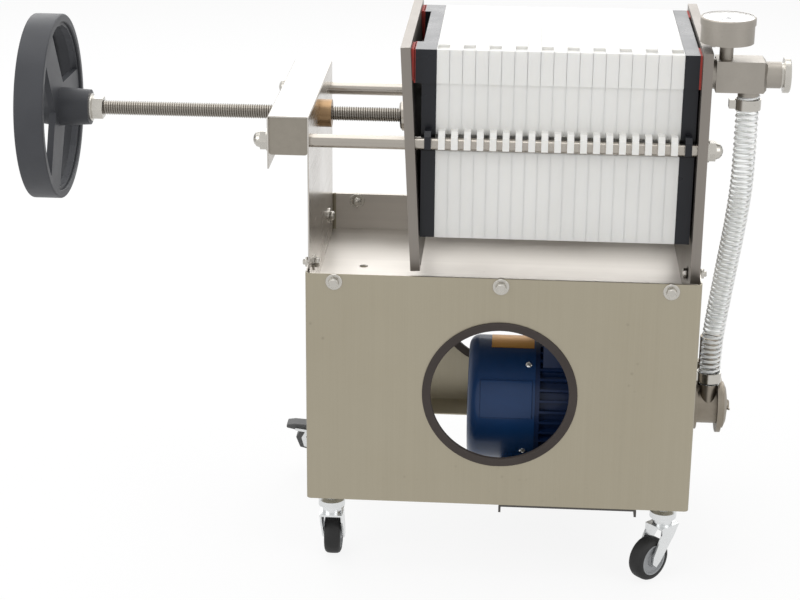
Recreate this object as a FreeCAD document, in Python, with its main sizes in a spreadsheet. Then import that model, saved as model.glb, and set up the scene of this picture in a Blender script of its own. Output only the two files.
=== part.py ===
import FreeCAD, Part
import math
import operator
import os
from types import SimpleNamespace

import Sketcher
from FreeCAD import Vector

# Plate filter press for wine or oil, 20 x 20 cm class, on a caster cabinet with a pump set inside.
# Millimetres, +Z up. +X runs along the tie rods from the handwheel to the pump, +Y to the back.
# The origin is on the floor, below the centre of the whole machine.
# Heights in the sheet that end in "rise" are counted from the top edge of the cabinet's panels.

SIZES = {
    # cabinet: two bent panels, a deck tray between them and a plate under them for the motor
    "cabinet_width": 411,
    "cabinet_depth": 284,
    "panel_height": 258,
    "floor_clearance": 86,
    "sheet_gauge": 1.5,
    "panel_bend": 5,
    "panel_return": 18,
    "panel_foot": 45,
    "deck_depth": 42,
    "deck_drain_radius": 5,
    "window_radius": 77,
    "window_drop": 130,
    "trim_inset": 4,
    "trim_overlap": 5,
    "trim_flank": 2.2,
    "fold_clearance": 0.5,
    # rods, screw and the two ends of the press
    "rod_rise": 134,
    "rod_spacing": 218.6,
    "rod_radius": 7,
    "rod_fit": 0.3,
    "cap_nut_radius": 11,
    "cap_nut_length": 14,
    "cap_dome_radius": 8.8,
    "cap_hexagon_length": 6.5,
    "rod_washer_radius": 12,
    "rod_washer_gauge": 2,
    "rod_engagement": 8,
    "beam_tube": 40,
    "beam_wall": 3,
    "beam_span": 247,
    "beam_setback": 2,
    "beam_rise": 162.5,
    "beam_skirt": 56,
    "beam_bend": 3,
    "end_plate_gauge": 10,
    "end_plate_span": 243,
    "end_plate_top_rise": 237,
    "head_plate_drop": 1,
    "screw_radius": 8,
    "screw_pitch": 2.5,
    "nut_flange_radius": 15,
    "nut_flange_length": 12,
    "nut_body_radius": 12,
    "thrust_boss_radius": 16,
    "thrust_boss_length": 12.5,
    "thrust_socket_depth": 9,
    "thrust_socket_play": 1.6,
    "thrust_end_play": 0.9,
    "head_lean": 3,
    "head_play": 1.2,
    # handwheel
    "wheel_radius": 100,
    "wheel_rim_width": 31,
    "wheel_rim_wall": 4,
    "wheel_lip": 9,
    "wheel_hub_radius": 21,
    "wheel_hub_overhang": 30,
    "wheel_spoke_width": 42,
    "wheel_spoke_gauge": 7,
    "wheel_spokes": 3,
    "wheel_web_recess": 3,
    "wheel_hub_setback": 7,
    "wheel_hub_taper": 2,
    "wheel_reach": 515,
    "lock_nut_radius": 13,
    "lock_nut_length": 14,
    # plate pack
    "plates": 19,
    "plate_thickness": 12.86,
    "plate_gap": 0.3,
    "plate_half_width": 108,
    "plate_edge_recess": 3.5,
    "plate_height": 201,
    "plate_drop": 2.4,
    "corner_block": 35,
    "port_radius": 8,
    "ear_thickness": 6.8,
    "ear_wall": 5,
    "ear_rise": 15,
    "ear_drop": 3,
    "notch_margin": 2,
    "chamber_margin": 26,
    "chamber_depth": 2,
    "grip_length": 20,
    "grip_width": 12,
    "grip_depth": 3,
    "grip_inset": 4,
    "closing_plate_thickness": 15,
    "block_overhang": 6.5,
    "seal_gauge": 1.5,
    "tail_seal_gauge": 2,
    # inlet on the fixed plate, with its gauge and the hose from the pump
    "port_back": 90,
    "port_rise": 210,
    "inlet_collar": 5,
    "inlet_collar_radius": 15.5,
    "inlet_length": 51,
    "inlet_size": 32,
    "inlet_chamfer": 3,
    "inlet_neck_radius": 13.5,
    "inlet_neck_length": 15,
    "cap_seal_length": 2.5,
    "cap_radius": 18,
    "cap_length": 6.5,
    "gauge_offset": 15,
    "gauge_radius": 28,
    "gauge_height": 26,
    "gauge_stem_radius": 7,
    "gauge_stem_length": 17,
    "gauge_bezel": 1.6,
    "gauge_step": 1,
    "gauge_band": 7.5,
    "gauge_depth": 3,
    "hose_offset": 37.5,
    "hose_radius": 12,
    "nipple_length": 6,
    "nipple_radius": 11,
    "clamp_width": 11,
    "clamp_gauge": 1.2,
    "clamp_fit": 0.05,
    "outlet_collar_length": 20,
    "outlet_collar_radius": 14,
    "barb_radius": 9.5,
    "barb_length": 30,
    "barb_wall": 2.5,
    # motor and pump
    "motor_rise": 71,
    "motor_forward": 12,
    "motor_radius": 60,
    "fin_reach": 69,
    "fin_gauge": 2.4,
    "fins": 36,
    "fin_root": 2,
    "fin_setback": 18,
    "shield_gauge": 5,
    "motor_start": 38,
    "motor_length": 112,
    "fan_cover_radius": 70,
    "fan_cover_length": 74,
    "fan_cover_wall": 2,
    "fan_cover_corner": 12,
    "fan_slot_width": 5,
    "fan_slot_length": 34,
    "fan_slots": 16,
    "terminal_box_start": 8,
    "terminal_box_length": 74,
    "terminal_box_half": 42,
    "terminal_box_low": 44,
    "terminal_box_high": 92,
    "motor_foot_width": 112,
    "motor_foot_gauge": 8,
    "motor_foot_front": 14,
    "motor_foot_back": 26,
    "motor_web_share": 0.6,
    "bracket_length": 68,
    "bracket_radius": 52,
    "bracket_nose_radius": 24,
    "bracket_flange_gauge": 10,
    "bracket_shoulder": 24,
    "bracket_bell_length": 30,
    "bracket_rim_gauge": 8,
    "bracket_rim": 4,
    "pump_length": 24,
    "pump_radius": 21,
    "pump_flange_radius": 31,
    "pump_flange_gauge": 5,
    "pump_flange_overlap": 2,
    "pump_cover_length": 7,
    "pump_cover_radius": 26,
    "pump_stud_radius": 4,
    "pump_stud_reach": 3,
    "pump_port_spread": 20,
    "pump_port_radius": 9,
    "pump_port_rise": 30,
    "suction_rise": 74,
    "suction_collar_radius": 11.5,
    "motor_plate_start": 2,
    "motor_plate_length": 148,
    "motor_plate_gauge": 2.5,
    "motor_plate_lip": 9,
    "motor_plate_inset": 0.6,
    # casters
    "caster_inset": 25,
    "caster_end_inset": 25,
    "caster_wheel_radius": 24,
    "caster_wheel_width": 18,
    "caster_tyre_round": 4,
    "caster_hub_radius": 17,
    "caster_hub_depth": 2.5,
    "caster_bore_radius": 4,
    "caster_axle_fit": 0.08,
    "caster_trail": 20,
    "caster_fork_gauge": 2,
    "caster_fork_rise": 60,
    "caster_fork_size": 27,
    "caster_fork_play": 1.5,
    "caster_race_radius": 14.5,
    "caster_race_lip": 4,
    "caster_stem_play": 1,
    "caster_stem_radius": 5,
    "caster_nut_radius": 9,
    "caster_nut_height": 6,
    "brake_reach": 52,
    "brake_width": 26,
}

OPERATIONS = {"+": operator.add, "-": operator.sub, "*": operator.mul, "/": operator.truediv}
TURN = 360
HEXAGON = 6
HEXAGON_TURN = TURN / HEXAGON
HALF_TURN = 180


class Size:
    """A length in millimetres that remembers the spreadsheet formula it comes from."""

    def __init__(self, value, formula):
        self.value = value
        self.formula = formula

    def joined(self, sign, other, swapped=False):
        left, right = (as_size(other), self) if swapped else (self, as_size(other))
        value = OPERATIONS[sign](left.value, right.value)
        return Size(value, f"({left.formula} {sign} {right.formula})")

    def __add__(self, other):
        return self.joined("+", other)

    def __radd__(self, other):
        return self.joined("+", other, swapped=True)

    def __sub__(self, other):
        return self.joined("-", other)

    def __rsub__(self, other):
        return self.joined("-", other, swapped=True)

    def __mul__(self, other):
        return self.joined("*", other)

    def __rmul__(self, other):
        return self.joined("*", other, swapped=True)

    def __truediv__(self, other):
        return self.joined("/", other)

    def __neg__(self):
        return self.joined("*", -1)

    def __float__(self):
        return float(self.value)


def as_size(number):
    """A plain number joins a formula as itself."""
    return number if isinstance(number, Size) else Size(number, str(number))


def tangent(angle):
    return Size(math.tan(math.radians(angle.value)), f"tan({angle.formula} * 1deg)")


def cosine(angle):
    return Size(math.cos(math.radians(angle.value)), f"cos({angle.formula} * 1deg)")


doc = FreeCAD.newDocument("filter_press")
sheet = doc.addObject("Spreadsheet::Sheet", "Sizes")
for row, (alias, number) in enumerate(SIZES.items(), start=1):
    sheet.set(f"A{row}", alias)
    sheet.set(f"B{row}", str(number))
    sheet.setAlias(f"B{row}", alias)
doc.recompute()
size = SimpleNamespace(**{alias: Size(number, f"Sizes.{alias}") for alias, number in SIZES.items()})

nodes = []


# ---------------------------------------------------------------- building helpers


def bind(target, **formulas):
    """Ties properties to sizes; a double underscore stands for a dot."""
    for name, amount in formulas.items():
        target.setExpression(name.replace("__", "."), as_size(amount).formula)


def new_body(label, node=True):
    body = doc.addObject("PartDesign::Body", label)
    body.Label = label
    if node:
        nodes.append(body)
    return body


def origin_feature(body, role):
    for feature in body.Origin.OriginFeatures:
        if feature.Role == role:
            return feature
    raise ValueError(role)


def rectangle(left, low, right, high):
    return [(left, low), (right, low), (right, high), (left, high)]


def ring(across, up, radius):
    """A circle loop for a sketch."""
    return SimpleNamespace(across=across, up=up, radius=radius)


def polar(radius, angle):
    """A point on a circle about the sketch origin; the angle is a plain number of degrees."""
    return (radius * math.cos(math.radians(angle)), radius * math.sin(math.radians(angle)))


def tie_point(sketch, geometry, point, place):
    """Holds one sketch point at a place that the sheet gives."""
    for kind, axis, amount in (("DistanceX", -2, place[0]), ("DistanceY", -1, place[1])):
        if float(amount) == 0:
            sketch.addConstraint(Sketcher.Constraint("PointOnObject", geometry, point, axis))
        else:
            index = sketch.addConstraint(Sketcher.Constraint(kind, -1, 1, geometry, point, float(amount)))
            sketch.setExpression(f"Constraints[{index}]", as_size(amount).formula)


def draw_ring(sketch, loop):
    centre = Vector(float(loop.across), float(loop.up), 0)
    circle = sketch.addGeometry(Part.Circle(centre, Vector(0, 0, 1), float(loop.radius)), False)
    tie_point(sketch, circle, 3, (loop.across, loop.up))
    index = sketch.addConstraint(Sketcher.Constraint("Radius", circle, float(loop.radius)))
    sketch.setExpression(f"Constraints[{index}]", as_size(loop.radius).formula)


def draw_polygon(sketch, corners):
    points = [Vector(float(across), float(up), 0) for across, up in corners]
    lines = [
        sketch.addGeometry(Part.LineSegment(here, there), False)
        for here, there in zip(points, points[1:] + points[:1])
    ]
    for line, follower in zip(lines, lines[1:] + lines[:1]):
        sketch.addConstraint(Sketcher.Constraint("Coincident", line, 2, follower, 1))
    for line, corner in zip(lines, corners):
        tie_point(sketch, line, 1, corner)


def new_sketch(body, plane, offset, loops):
    sketch = body.newObject("Sketcher::SketchObject", f"{body.Name}_sketch")
    sketch.AttachmentSupport = [(origin_feature(body, f"{plane}_Plane"), "")]
    sketch.MapMode = "FlatFace"
    bind(sketch, AttachmentOffset__Base__z=offset)
    for loop in loops:
        if isinstance(loop, list):
            draw_polygon(sketch, loop)
        else:
            draw_ring(sketch, loop)
    sketch.Visibility = False
    return sketch


def add(body, plane, low, high, *loops):
    """Pads the loops from low to high along the axis that the plane faces."""
    start = -as_size(high) if plane == "XZ" else low
    pad = body.newObject("PartDesign::Pad", f"{body.Name}_pad")
    pad.Profile = new_sketch(body, plane, start, loops)
    bind(pad, Length=as_size(high) - low)
    return pad


def cut(body, plane, low, high, *loops):
    """Pockets the loops from low to high along the axis that the plane faces."""
    start = -as_size(low) if plane == "XZ" else high
    pocket = body.newObject("PartDesign::Pocket", f"{body.Name}_pocket")
    pocket.Profile = new_sketch(body, plane, start, loops)
    bind(pocket, Length=as_size(high) - low)
    return pocket


def spin(body, plane, axis, *loops, groove=False):
    """Revolves the loops a full turn about the sketch's own horizontal or vertical axis."""
    kind = "PartDesign::Groove" if groove else "PartDesign::Revolution"
    feature = body.newObject(kind, f"{body.Name}_turned")
    sketch = new_sketch(body, plane, 0, loops)
    feature.Profile = sketch
    feature.ReferenceAxis = (sketch, [f"{axis}_Axis"])
    feature.Angle = TURN
    return feature


def tip_edges(body, wanted):
    doc.recompute()
    shape = body.Tip.Shape
    return [f"Edge{index}" for index, edge in enumerate(shape.Edges, start=1) if wanted(edge)]


def dress(body, kind, amount, wanted):
    """Fillets or chamfers the edges of the body's last feature that pass the test."""
    names = tip_edges(body, wanted)
    base = body.Tip
    feature = body.newObject(f"PartDesign::{kind}", f"{body.Name}_{kind.lower()}")
    feature.Base = (base, names)
    if kind == "Fillet":
        bind(feature, Radius=amount)
    else:
        bind(feature, Size=amount)
    body.Tip = feature
    return feature


def repeat_round(body, feature, axis, count):
    pattern = body.newObject("PartDesign::PolarPattern", f"{body.Name}_pattern")
    pattern.Originals = [feature]
    pattern.Axis = (origin_feature(body, f"{axis}_Axis"), [""])
    pattern.Angle = TURN
    bind(pattern, Occurrences=count)
    body.Tip = pattern
    return pattern


def seat(body, along, across, up):
    """Places an object: along and across from the cabinet's centre, up from the floor."""
    shift = along + ORIGIN_SHIFT
    bind(body, Placement__Base__x=shift, Placement__Base__y=across, Placement__Base__z=up)


def turn(body, axis, angle):
    body.Placement = FreeCAD.Placement(Vector(), FreeCAD.Rotation(axis, float(angle)))
    bind(body, Placement__Rotation__Angle=angle)


def gather(label, pieces):
    """One node of like pieces that don't touch."""
    compound = doc.addObject("Part::Compound", label)
    compound.Label = label
    compound.Links = pieces
    nodes.append(compound)
    return compound


def upright_edge(edge):
    """True for a straight edge along Z."""
    return straight_along(edge, Vector(0, 0, 1))


def straight_along(edge, direction):
    if edge.Curve.TypeId != "Part::GeomLine":
        return False
    run = edge.Vertexes[-1].Point - edge.Vertexes[0].Point
    return abs(run.getAngle(direction) % math.pi) < 0.01 or abs(run.getAngle(direction) - math.pi) < 0.01


# ---------------------------------------------------------------- places shared by several pieces

ON_AXIS = as_size(0)
PANEL_TOP = size.floor_clearance + size.panel_height
HALF_WIDTH = size.cabinet_width / 2
HALF_DEPTH = size.cabinet_depth / 2
DECK = PANEL_TOP - size.deck_depth
ROD_Z = PANEL_TOP + size.rod_rise
ROD_Y = size.rod_spacing / 2
FLANGE_FACE = HALF_WIDTH - size.sheet_gauge
CAP_REACH = (
    FLANGE_FACE + size.inlet_collar + size.inlet_length + size.inlet_neck_length
    + size.cap_seal_length + size.cap_length
)
ORIGIN_SHIFT = (size.wheel_reach - CAP_REACH) / 2
TUBE_RIGHT = -FLANGE_FACE
TUBE_LEFT = TUBE_RIGHT - size.beam_tube
BEAM_TOP = PANEL_TOP + size.beam_rise
BEAM_RIGHT = TUBE_RIGHT + size.sheet_gauge
BEAM_LEFT = TUBE_LEFT - size.sheet_gauge
FIXED_FACE = FLANGE_FACE - size.end_plate_gauge
PLATE_Z = ROD_Z - size.plate_drop
PLATE_BOTTOM = PLATE_Z - size.plate_height / 2
TAIL_RIGHT = FIXED_FACE - size.tail_seal_gauge
TAIL_LEFT = TAIL_RIGHT - size.closing_plate_thickness
PACK_RIGHT = TAIL_LEFT - size.plate_gap
PLATE_PITCH = size.plate_thickness + size.plate_gap
PACK_LEFT = PACK_RIGHT - PLATE_PITCH * size.plates
HEAD_RIGHT = PACK_LEFT
HEAD_LEFT = HEAD_RIGHT - size.closing_plate_thickness
LEAN_RISE = (ROD_Z - PLATE_BOTTOM) / cosine(size.head_lean)
PRESS_FACE_AT_SCREW = HEAD_LEFT - (ROD_Z - PLATE_BOTTOM) * tangent(size.head_lean)
PRESS_BACK_AT_SCREW = PRESS_FACE_AT_SCREW - size.end_plate_gauge / cosine(size.head_lean)
SCREW_TIP = PRESS_BACK_AT_SCREW - size.thrust_boss_length + size.thrust_socket_depth
WHEEL_LEFT = -size.wheel_reach
WHEEL_RIGHT = WHEEL_LEFT + size.wheel_rim_width
HUB_RIGHT = WHEEL_RIGHT + size.wheel_hub_overhang
PORT_Z = PANEL_TOP + size.port_rise
MOTOR_Z = size.floor_clearance + size.motor_rise
MOTOR_Y = -size.motor_forward
PUMP_LEFT = size.motor_start + size.motor_length + size.bracket_length


# ---------------------------------------------------------------- cabinet


def make_panel(label, facing):
    """A bent sheet with side returns, an inward foot and a round window; facing is -1 at the front."""
    panel = new_body(label)
    half, gauge = HALF_WIDTH, size.sheet_gauge
    inside = half - gauge
    deep = size.panel_return
    add(panel, "XY", 0, size.panel_height, rectangle(-half, 0, half, deep))
    dress(
        panel, "Fillet", size.panel_bend,
        lambda edge: upright_edge(edge) and abs(edge.Vertexes[0].Y) < float(gauge) / 2,
    )
    cut(panel, "XY", 0, size.panel_height, rectangle(-inside, gauge, inside, deep + gauge))
    dress(
        panel, "Fillet", size.panel_bend - gauge,
        lambda edge: upright_edge(edge)
        and abs(edge.Vertexes[0].Y - float(gauge)) < float(gauge) / 2
        and abs(abs(edge.Vertexes[0].X) - float(inside)) < float(gauge) / 2,
    )
    below_deck = size.panel_height - size.deck_depth - gauge
    bend = size.panel_bend + size.fold_clearance
    side_gap = rectangle(-half - gauge, below_deck, half + gauge, size.panel_height + gauge)
    cut(panel, "XZ", bend, deep + gauge, side_gap)
    foot_side = inside - size.fold_clearance
    add(panel, "XY", 0, gauge, rectangle(-foot_side, gauge / 2, foot_side, size.panel_foot))
    window_up = size.panel_height - size.window_drop
    cut(panel, "XZ", -gauge, gauge * 2, ring(0, window_up, size.window_radius))
    holes = [
        ring(side * (half - size.caster_end_inset), size.caster_inset, size.caster_stem_radius)
        for side in (-1, 1)
    ]
    cut(panel, "XY", -gauge, gauge * 2, *holes)
    if facing < 0:
        seat(panel, ON_AXIS, -HALF_DEPTH, size.floor_clearance)
    else:
        panel.Placement = FreeCAD.Placement(Vector(), FreeCAD.Rotation(Vector(0, 0, 1), HALF_TURN))
        seat(panel, ON_AXIS, HALF_DEPTH, size.floor_clearance)
    return panel


def make_deck_tray():
    """The recessed deck with its edges folded up behind the panels and out to the cabinet's sides."""
    tray = new_body("deck_tray")
    gauge = size.sheet_gauge
    half_x, half_y = HALF_WIDTH, HALF_DEPTH - gauge
    corner = size.panel_bend + size.fold_clearance
    add(tray, "XY", -gauge, size.deck_depth, rectangle(-half_x, -half_y, half_x, half_y))
    cut(
        tray, "XY", 0, size.deck_depth + gauge,
        rectangle(-half_x + gauge, -half_y + gauge, half_x - gauge, half_y - gauge),
    )
    corners = [
        rectangle(*sorted_pair(side * half_x, side * (half_x - corner), end * half_y, end * (half_y - corner)))
        for side in (-1, 1)
        for end in (-1, 1)
    ]
    cut(tray, "XY", -gauge * 2, size.deck_depth + gauge, *corners)
    drain_x = -HALF_WIDTH * 0.76
    cut(tray, "XY", -gauge * 2, gauge, ring(drain_x, corner, size.deck_drain_radius))
    seat(tray, ON_AXIS, ON_AXIS, DECK)
    return tray


def sorted_pair(x_one, x_two, y_one, y_two):
    """Corner values of a rectangle in rising order, for sizes whose side may be mirrored."""
    left, right = sorted((x_one, x_two), key=float)
    low, high = sorted((y_one, y_two), key=float)
    return left, low, right, high


def make_window_trim(label, facing):
    """A rubber edge strip with a channel that hugs the rim of the window."""
    trim = new_body(label, node=False)
    gauge = size.sheet_gauge
    inner = size.window_radius - size.trim_inset
    outer = size.window_radius + size.trim_overlap
    near, far = -size.trim_flank, gauge + size.trim_flank
    profile = [
        (inner, near), (outer, near), (outer, 0), (size.window_radius, 0),
        (size.window_radius, gauge), (outer, gauge), (outer, far), (inner, far),
    ]
    spin(trim, "XY", "V", profile)
    dress(
        trim, "Fillet", size.trim_flank * 0.6,
        lambda edge: on_rim(edge, inner) or on_outer_face(edge, outer, near, far),
    )
    if facing < 0:
        seat(trim, ON_AXIS, -HALF_DEPTH, PANEL_TOP - size.window_drop)
    else:
        trim.Placement = FreeCAD.Placement(Vector(), FreeCAD.Rotation(Vector(0, 0, 1), HALF_TURN))
        seat(trim, ON_AXIS, HALF_DEPTH, PANEL_TOP - size.window_drop)
    return trim


def on_rim(edge, radius):
    return hasattr(edge.Curve, "Radius") and abs(edge.Curve.Radius - float(radius)) < 0.01


def on_outer_face(edge, radius, near, far):
    if not on_rim(edge, radius):
        return False
    height = edge.Vertexes[0].Y
    return min(abs(height - float(near)), abs(height - float(far))) < 0.01


def make_motor_plate():
    """A plate under the panels' feet that carries the motor, its two ends bent down."""
    plate = new_body("motor_plate")
    gauge = size.motor_plate_gauge
    long, lip = size.motor_plate_length, size.motor_plate_lip
    profile = [
        (0, -lip), (gauge, -lip), (gauge, -gauge), (long - gauge, -gauge),
        (long - gauge, -lip), (long, -lip), (long, 0), (0, 0),
    ]
    inset = size.motor_plate_inset
    add(plate, "XZ", -HALF_DEPTH + inset, HALF_DEPTH - inset, profile)
    dress(
        plate, "Fillet", gauge,
        lambda edge: straight_along(edge, Vector(0, 1, 0)) and abs(edge.Vertexes[0].Z) < float(gauge) / 2,
    )
    seat(plate, size.motor_plate_start, ON_AXIS, size.floor_clearance)
    return plate


# ---------------------------------------------------------------- press frame


def make_end_upright():
    """The sheet that stands on the deck and folds over the cross beam down to its far side."""
    upright = new_body("end_upright")
    gauge = size.sheet_gauge
    tube = size.beam_tube
    foot = DECK - BEAM_TOP
    profile = [
        (0, foot), (gauge, foot), (gauge, 0), (-tube - gauge, 0),
        (-tube - gauge, -size.beam_skirt), (-tube, -size.beam_skirt), (-tube, -gauge), (0, -gauge),
    ]
    half = size.beam_span / 2
    add(upright, "XZ", -half, half, profile)
    dress(
        upright, "Fillet", size.beam_bend,
        lambda edge: straight_along(edge, Vector(0, 1, 0)) and abs(edge.Vertexes[0].Z) < float(gauge) / 2,
    )
    drill = [ring(side * ROD_Y, ROD_Z - BEAM_TOP, size.rod_radius + size.rod_fit) for side in (-1, 1)]
    drill.append(ring(0, ROD_Z - BEAM_TOP, size.nut_body_radius))
    cut(upright, "YZ", -tube - gauge * 2, gauge * 2, *drill)
    seat(upright, TUBE_RIGHT, ON_AXIS, BEAM_TOP)
    return upright


def make_beam_tube():
    """The square tube inside the fold, closed at its ends and drilled for the rods and the nut."""
    tube = new_body("beam_tube")
    side, wall = size.beam_tube, size.beam_wall
    half = size.beam_span / 2 - size.beam_setback
    add(tube, "XZ", -half, half, rectangle(-side, -side, 0, 0))
    dress(tube, "Fillet", size.beam_bend, lambda edge: straight_along(edge, Vector(0, 1, 0)))
    cut(tube, "XZ", -half + wall, half - wall, rectangle(-side + wall, -side + wall, -wall, -wall))
    level = ROD_Z - BEAM_TOP + size.sheet_gauge
    drill = [ring(end * ROD_Y, level, size.rod_radius + size.rod_fit) for end in (-1, 1)]
    drill.append(ring(0, level, size.nut_body_radius))
    cut(tube, "YZ", -side - wall, wall, *drill)
    seat(tube, TUBE_RIGHT, ON_AXIS, BEAM_TOP - size.sheet_gauge)
    return tube


def make_fixed_plate():
    """The stainless end plate bolted inside the deck's flange, bored for the ports and the rods."""
    plate = new_body("fixed_plate")
    half = size.end_plate_span / 2
    top = size.end_plate_top_rise
    add(plate, "YZ", 0, size.end_plate_gauge, rectangle(-half, -size.deck_depth, half, top))
    drill = [ring(end * ROD_Y, size.rod_rise, size.rod_radius + size.rod_fit) for end in (-1, 1)]
    drill += [ring(end * size.port_back, size.port_rise, size.port_radius) for end in (-1, 1)]
    cut(plate, "YZ", -size.sheet_gauge, size.end_plate_gauge * 2, *drill)
    seat(plate, FIXED_FACE, ON_AXIS, PANEL_TOP)
    return plate


def make_tie_rods():
    """Two round rods from the cap nuts at the beam to those at the fixed plate."""
    rods = []
    outside = size.rod_washer_gauge + size.rod_engagement
    left = BEAM_LEFT - outside
    right = FLANGE_FACE + outside
    for end, name in ((-1, "front_rod"), (1, "rear_rod")):
        rod = new_body(name, node=False)
        add(rod, "YZ", 0, right - left, ring(0, 0, size.rod_radius))
        seat(rod, left, end * ROD_Y, ROD_Z)
        rods.append(rod)
    return gather("tie_rods", rods)


def make_cap_nut(name, along, across, outward):
    """A domed nut with its washer, bored for the end of a rod."""
    nut = new_body(name, node=False)
    washer, radius, length = size.rod_washer_gauge, size.cap_nut_radius, size.cap_nut_length
    bore, dome = size.rod_radius, size.cap_dome_radius
    deep = washer + size.rod_engagement
    profile = [
        (0, bore), (0, size.rod_washer_radius), (washer, size.rod_washer_radius), (washer, dome),
        (washer + length * 0.5, dome), (washer + length * 0.75, dome * 0.86),
        (washer + length * 0.92, dome * 0.55), (washer + length, dome * 0.2), (washer + length, 0),
        (deep, 0), (deep, bore),
    ]
    spin(nut, "XY", "H", profile)
    corners = [polar(radius, index * HEXAGON_TURN) for index in range(HEXAGON)]
    add(nut, "YZ", washer / 2, washer + size.cap_hexagon_length, corners, ring(0, 0, bore))
    if outward < 0:
        nut.Placement = FreeCAD.Placement(Vector(), FreeCAD.Rotation(Vector(0, 0, 1), HALF_TURN))
    seat(nut, along, across, ROD_Z)
    return nut


def make_cap_nuts():
    nuts = []
    for end, row in ((-1, "front"), (1, "rear")):
        nuts.append(make_cap_nut(f"{row}_beam_nut", BEAM_LEFT, end * ROD_Y, -1))
        nuts.append(make_cap_nut(f"{row}_plate_nut", FLANGE_FACE, end * ROD_Y, 1))
    return gather("rod_cap_nuts", nuts)


# ---------------------------------------------------------------- screw, handwheel and pressure plate


def make_drive_nut():
    """The bronze nut pressed through the beam that the screw runs in."""
    nut = new_body("drive_nut")
    bore = size.screw_radius + size.rod_fit
    back = BEAM_RIGHT - BEAM_LEFT
    profile = [
        (-back, bore), (-back, size.nut_body_radius), (0, size.nut_body_radius), (0, size.nut_flange_radius),
        (size.nut_flange_length, size.nut_flange_radius), (size.nut_flange_length, bore),
    ]
    spin(nut, "XY", "H", profile)
    seat(nut, BEAM_RIGHT, ON_AXIS, ROD_Z)
    return nut


def make_feed_screw():
    screw = new_body("feed_screw")
    start = WHEEL_LEFT + size.wheel_hub_setback
    length = SCREW_TIP - size.thrust_end_play - start
    add(screw, "YZ", 0, length, ring(0, 0, size.screw_radius))
    dress(screw, "Chamfer", size.screw_pitch / 2, lambda edge: on_rim(edge, size.screw_radius))
    seat(screw, start, ON_AXIS, ROD_Z)
    return screw


def make_screw_lock_nut():
    """The washer and hexagon nut that hold the handwheel on the screw."""
    nut = new_body("screw_lock_nut")
    washer = size.rod_washer_gauge
    corners = [polar(size.lock_nut_radius, index * HEXAGON_TURN) for index in range(HEXAGON)]
    add(nut, "YZ", 0, washer, ring(0, 0, size.lock_nut_radius + washer))
    add(nut, "YZ", washer / 2, size.lock_nut_length, corners)
    cut(nut, "YZ", -washer, size.lock_nut_length + washer, ring(0, 0, size.screw_radius))
    seat(nut, HUB_RIGHT, ON_AXIS, ROD_Z)
    return nut


def make_handwheel():
    """A moulded handwheel: a hollow flanged rim, a long hub and broad flat spokes."""
    wheel = new_body("handwheel")
    outer, wall, lip = size.wheel_radius, size.wheel_rim_wall, size.wheel_lip
    width, hub = size.wheel_rim_width, size.wheel_hub_radius
    bore = size.screw_radius
    long = width + size.wheel_hub_overhang
    spoke = size.wheel_spoke_gauge
    # rim of C section, open towards the hub
    rim = [
        (0, outer - lip), (0, outer), (width, outer), (width, outer - lip),
        (width - wall, outer - lip), (width - wall, outer - wall), (wall, outer - wall), (wall, outer - lip),
    ]
    spin(wheel, "XY", "H", rim)
    dress(wheel, "Fillet", wall * 0.45, lambda edge: on_rim(edge, outer) or on_rim(edge, outer - lip))
    # disc of spokes just inside the rim's face that looks at the screw, on a long hub
    web_high = width - size.wheel_web_recess
    web_low = web_high - spoke
    back, taper = size.wheel_hub_setback, hub - size.wheel_hub_taper
    disc = [
        (back, bore), (back, taper), (web_low, hub), (web_low, outer - wall / 2),
        (web_high, outer - wall / 2), (web_high, hub), (long, taper), (long, bore),
    ]
    spin(wheel, "XY", "H", disc)
    half = size.wheel_spoke_width / 2
    reach = outer - lip - 3
    share = TURN / SIZES["wheel_spokes"]
    window = window_corners(hub + 6, reach, half, share)
    gap = cut(wheel, "YZ", -spoke, width - 1, window)
    repeat_round(wheel, gap, "X", size.wheel_spokes)
    seat(wheel, WHEEL_LEFT, ON_AXIS, ROD_Z)
    return wheel


def window_corners(inner, outer, half, share):
    """The opening between two spokes: straight along both spokes and stepped round the rim."""
    first, last = HALF_TURN - share / 2, HALF_TURN + share / 2
    margin_out = math.degrees(math.asin(float(half) / float(outer)))
    steps = 6
    angles = [
        first + margin_out + (share - 2 * margin_out) * step / steps
        for step in range(steps + 1)
    ]
    rim_points = [polar(outer, angle) for angle in angles]
    middle = (first + last) / 2
    near = polar(inner, middle)
    return rim_points + [near]


def make_pressure_plate():
    """The sliding end plate, which hangs on the rods with play and so leans against the pack."""
    plate = new_body("pressure_plate")
    gauge = size.end_plate_gauge
    half = size.end_plate_span / 2
    low = PANEL_TOP - PLATE_BOTTOM - size.head_plate_drop
    high = PANEL_TOP + size.end_plate_top_rise - PLATE_BOTTOM
    level = LEAN_RISE
    outline = rectangle(-half, low, half, high)
    add(plate, "YZ", -gauge, 0, outline)
    drill = [ring(end * ROD_Y, level, size.rod_radius + size.head_play) for end in (-1, 1)]
    cut(plate, "YZ", -gauge * 2, gauge, *drill)
    turn(plate, Vector(0, -1, 0), size.head_lean)
    seat(plate, HEAD_LEFT - size.plate_gap, ON_AXIS, PLATE_BOTTOM)
    return plate


def make_thrust_boss():
    """The socket on the pressure plate that the end of the screw bears in."""
    boss = new_body("thrust_boss")
    radius, length = size.thrust_boss_radius, size.thrust_boss_length
    back = size.end_plate_gauge
    socket = size.screw_radius + size.thrust_socket_play
    floor = -back - length + size.thrust_socket_depth
    profile = [
        (-back, 0), (-back, radius), (-back - length + 2, radius), (-back - length, radius - 2),
        (-back - length, socket), (floor, socket), (floor, 0),
    ]
    spin(boss, "XY", "H", profile)
    boss_lift(boss)
    return boss


def boss_lift(boss):
    """Seats the boss on the leaning plate at the height of the screw."""
    turn(boss, Vector(0, -1, 0), size.head_lean)
    seat(boss, PRESS_FACE_AT_SCREW - size.plate_gap, ON_AXIS, ROD_Z)


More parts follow.
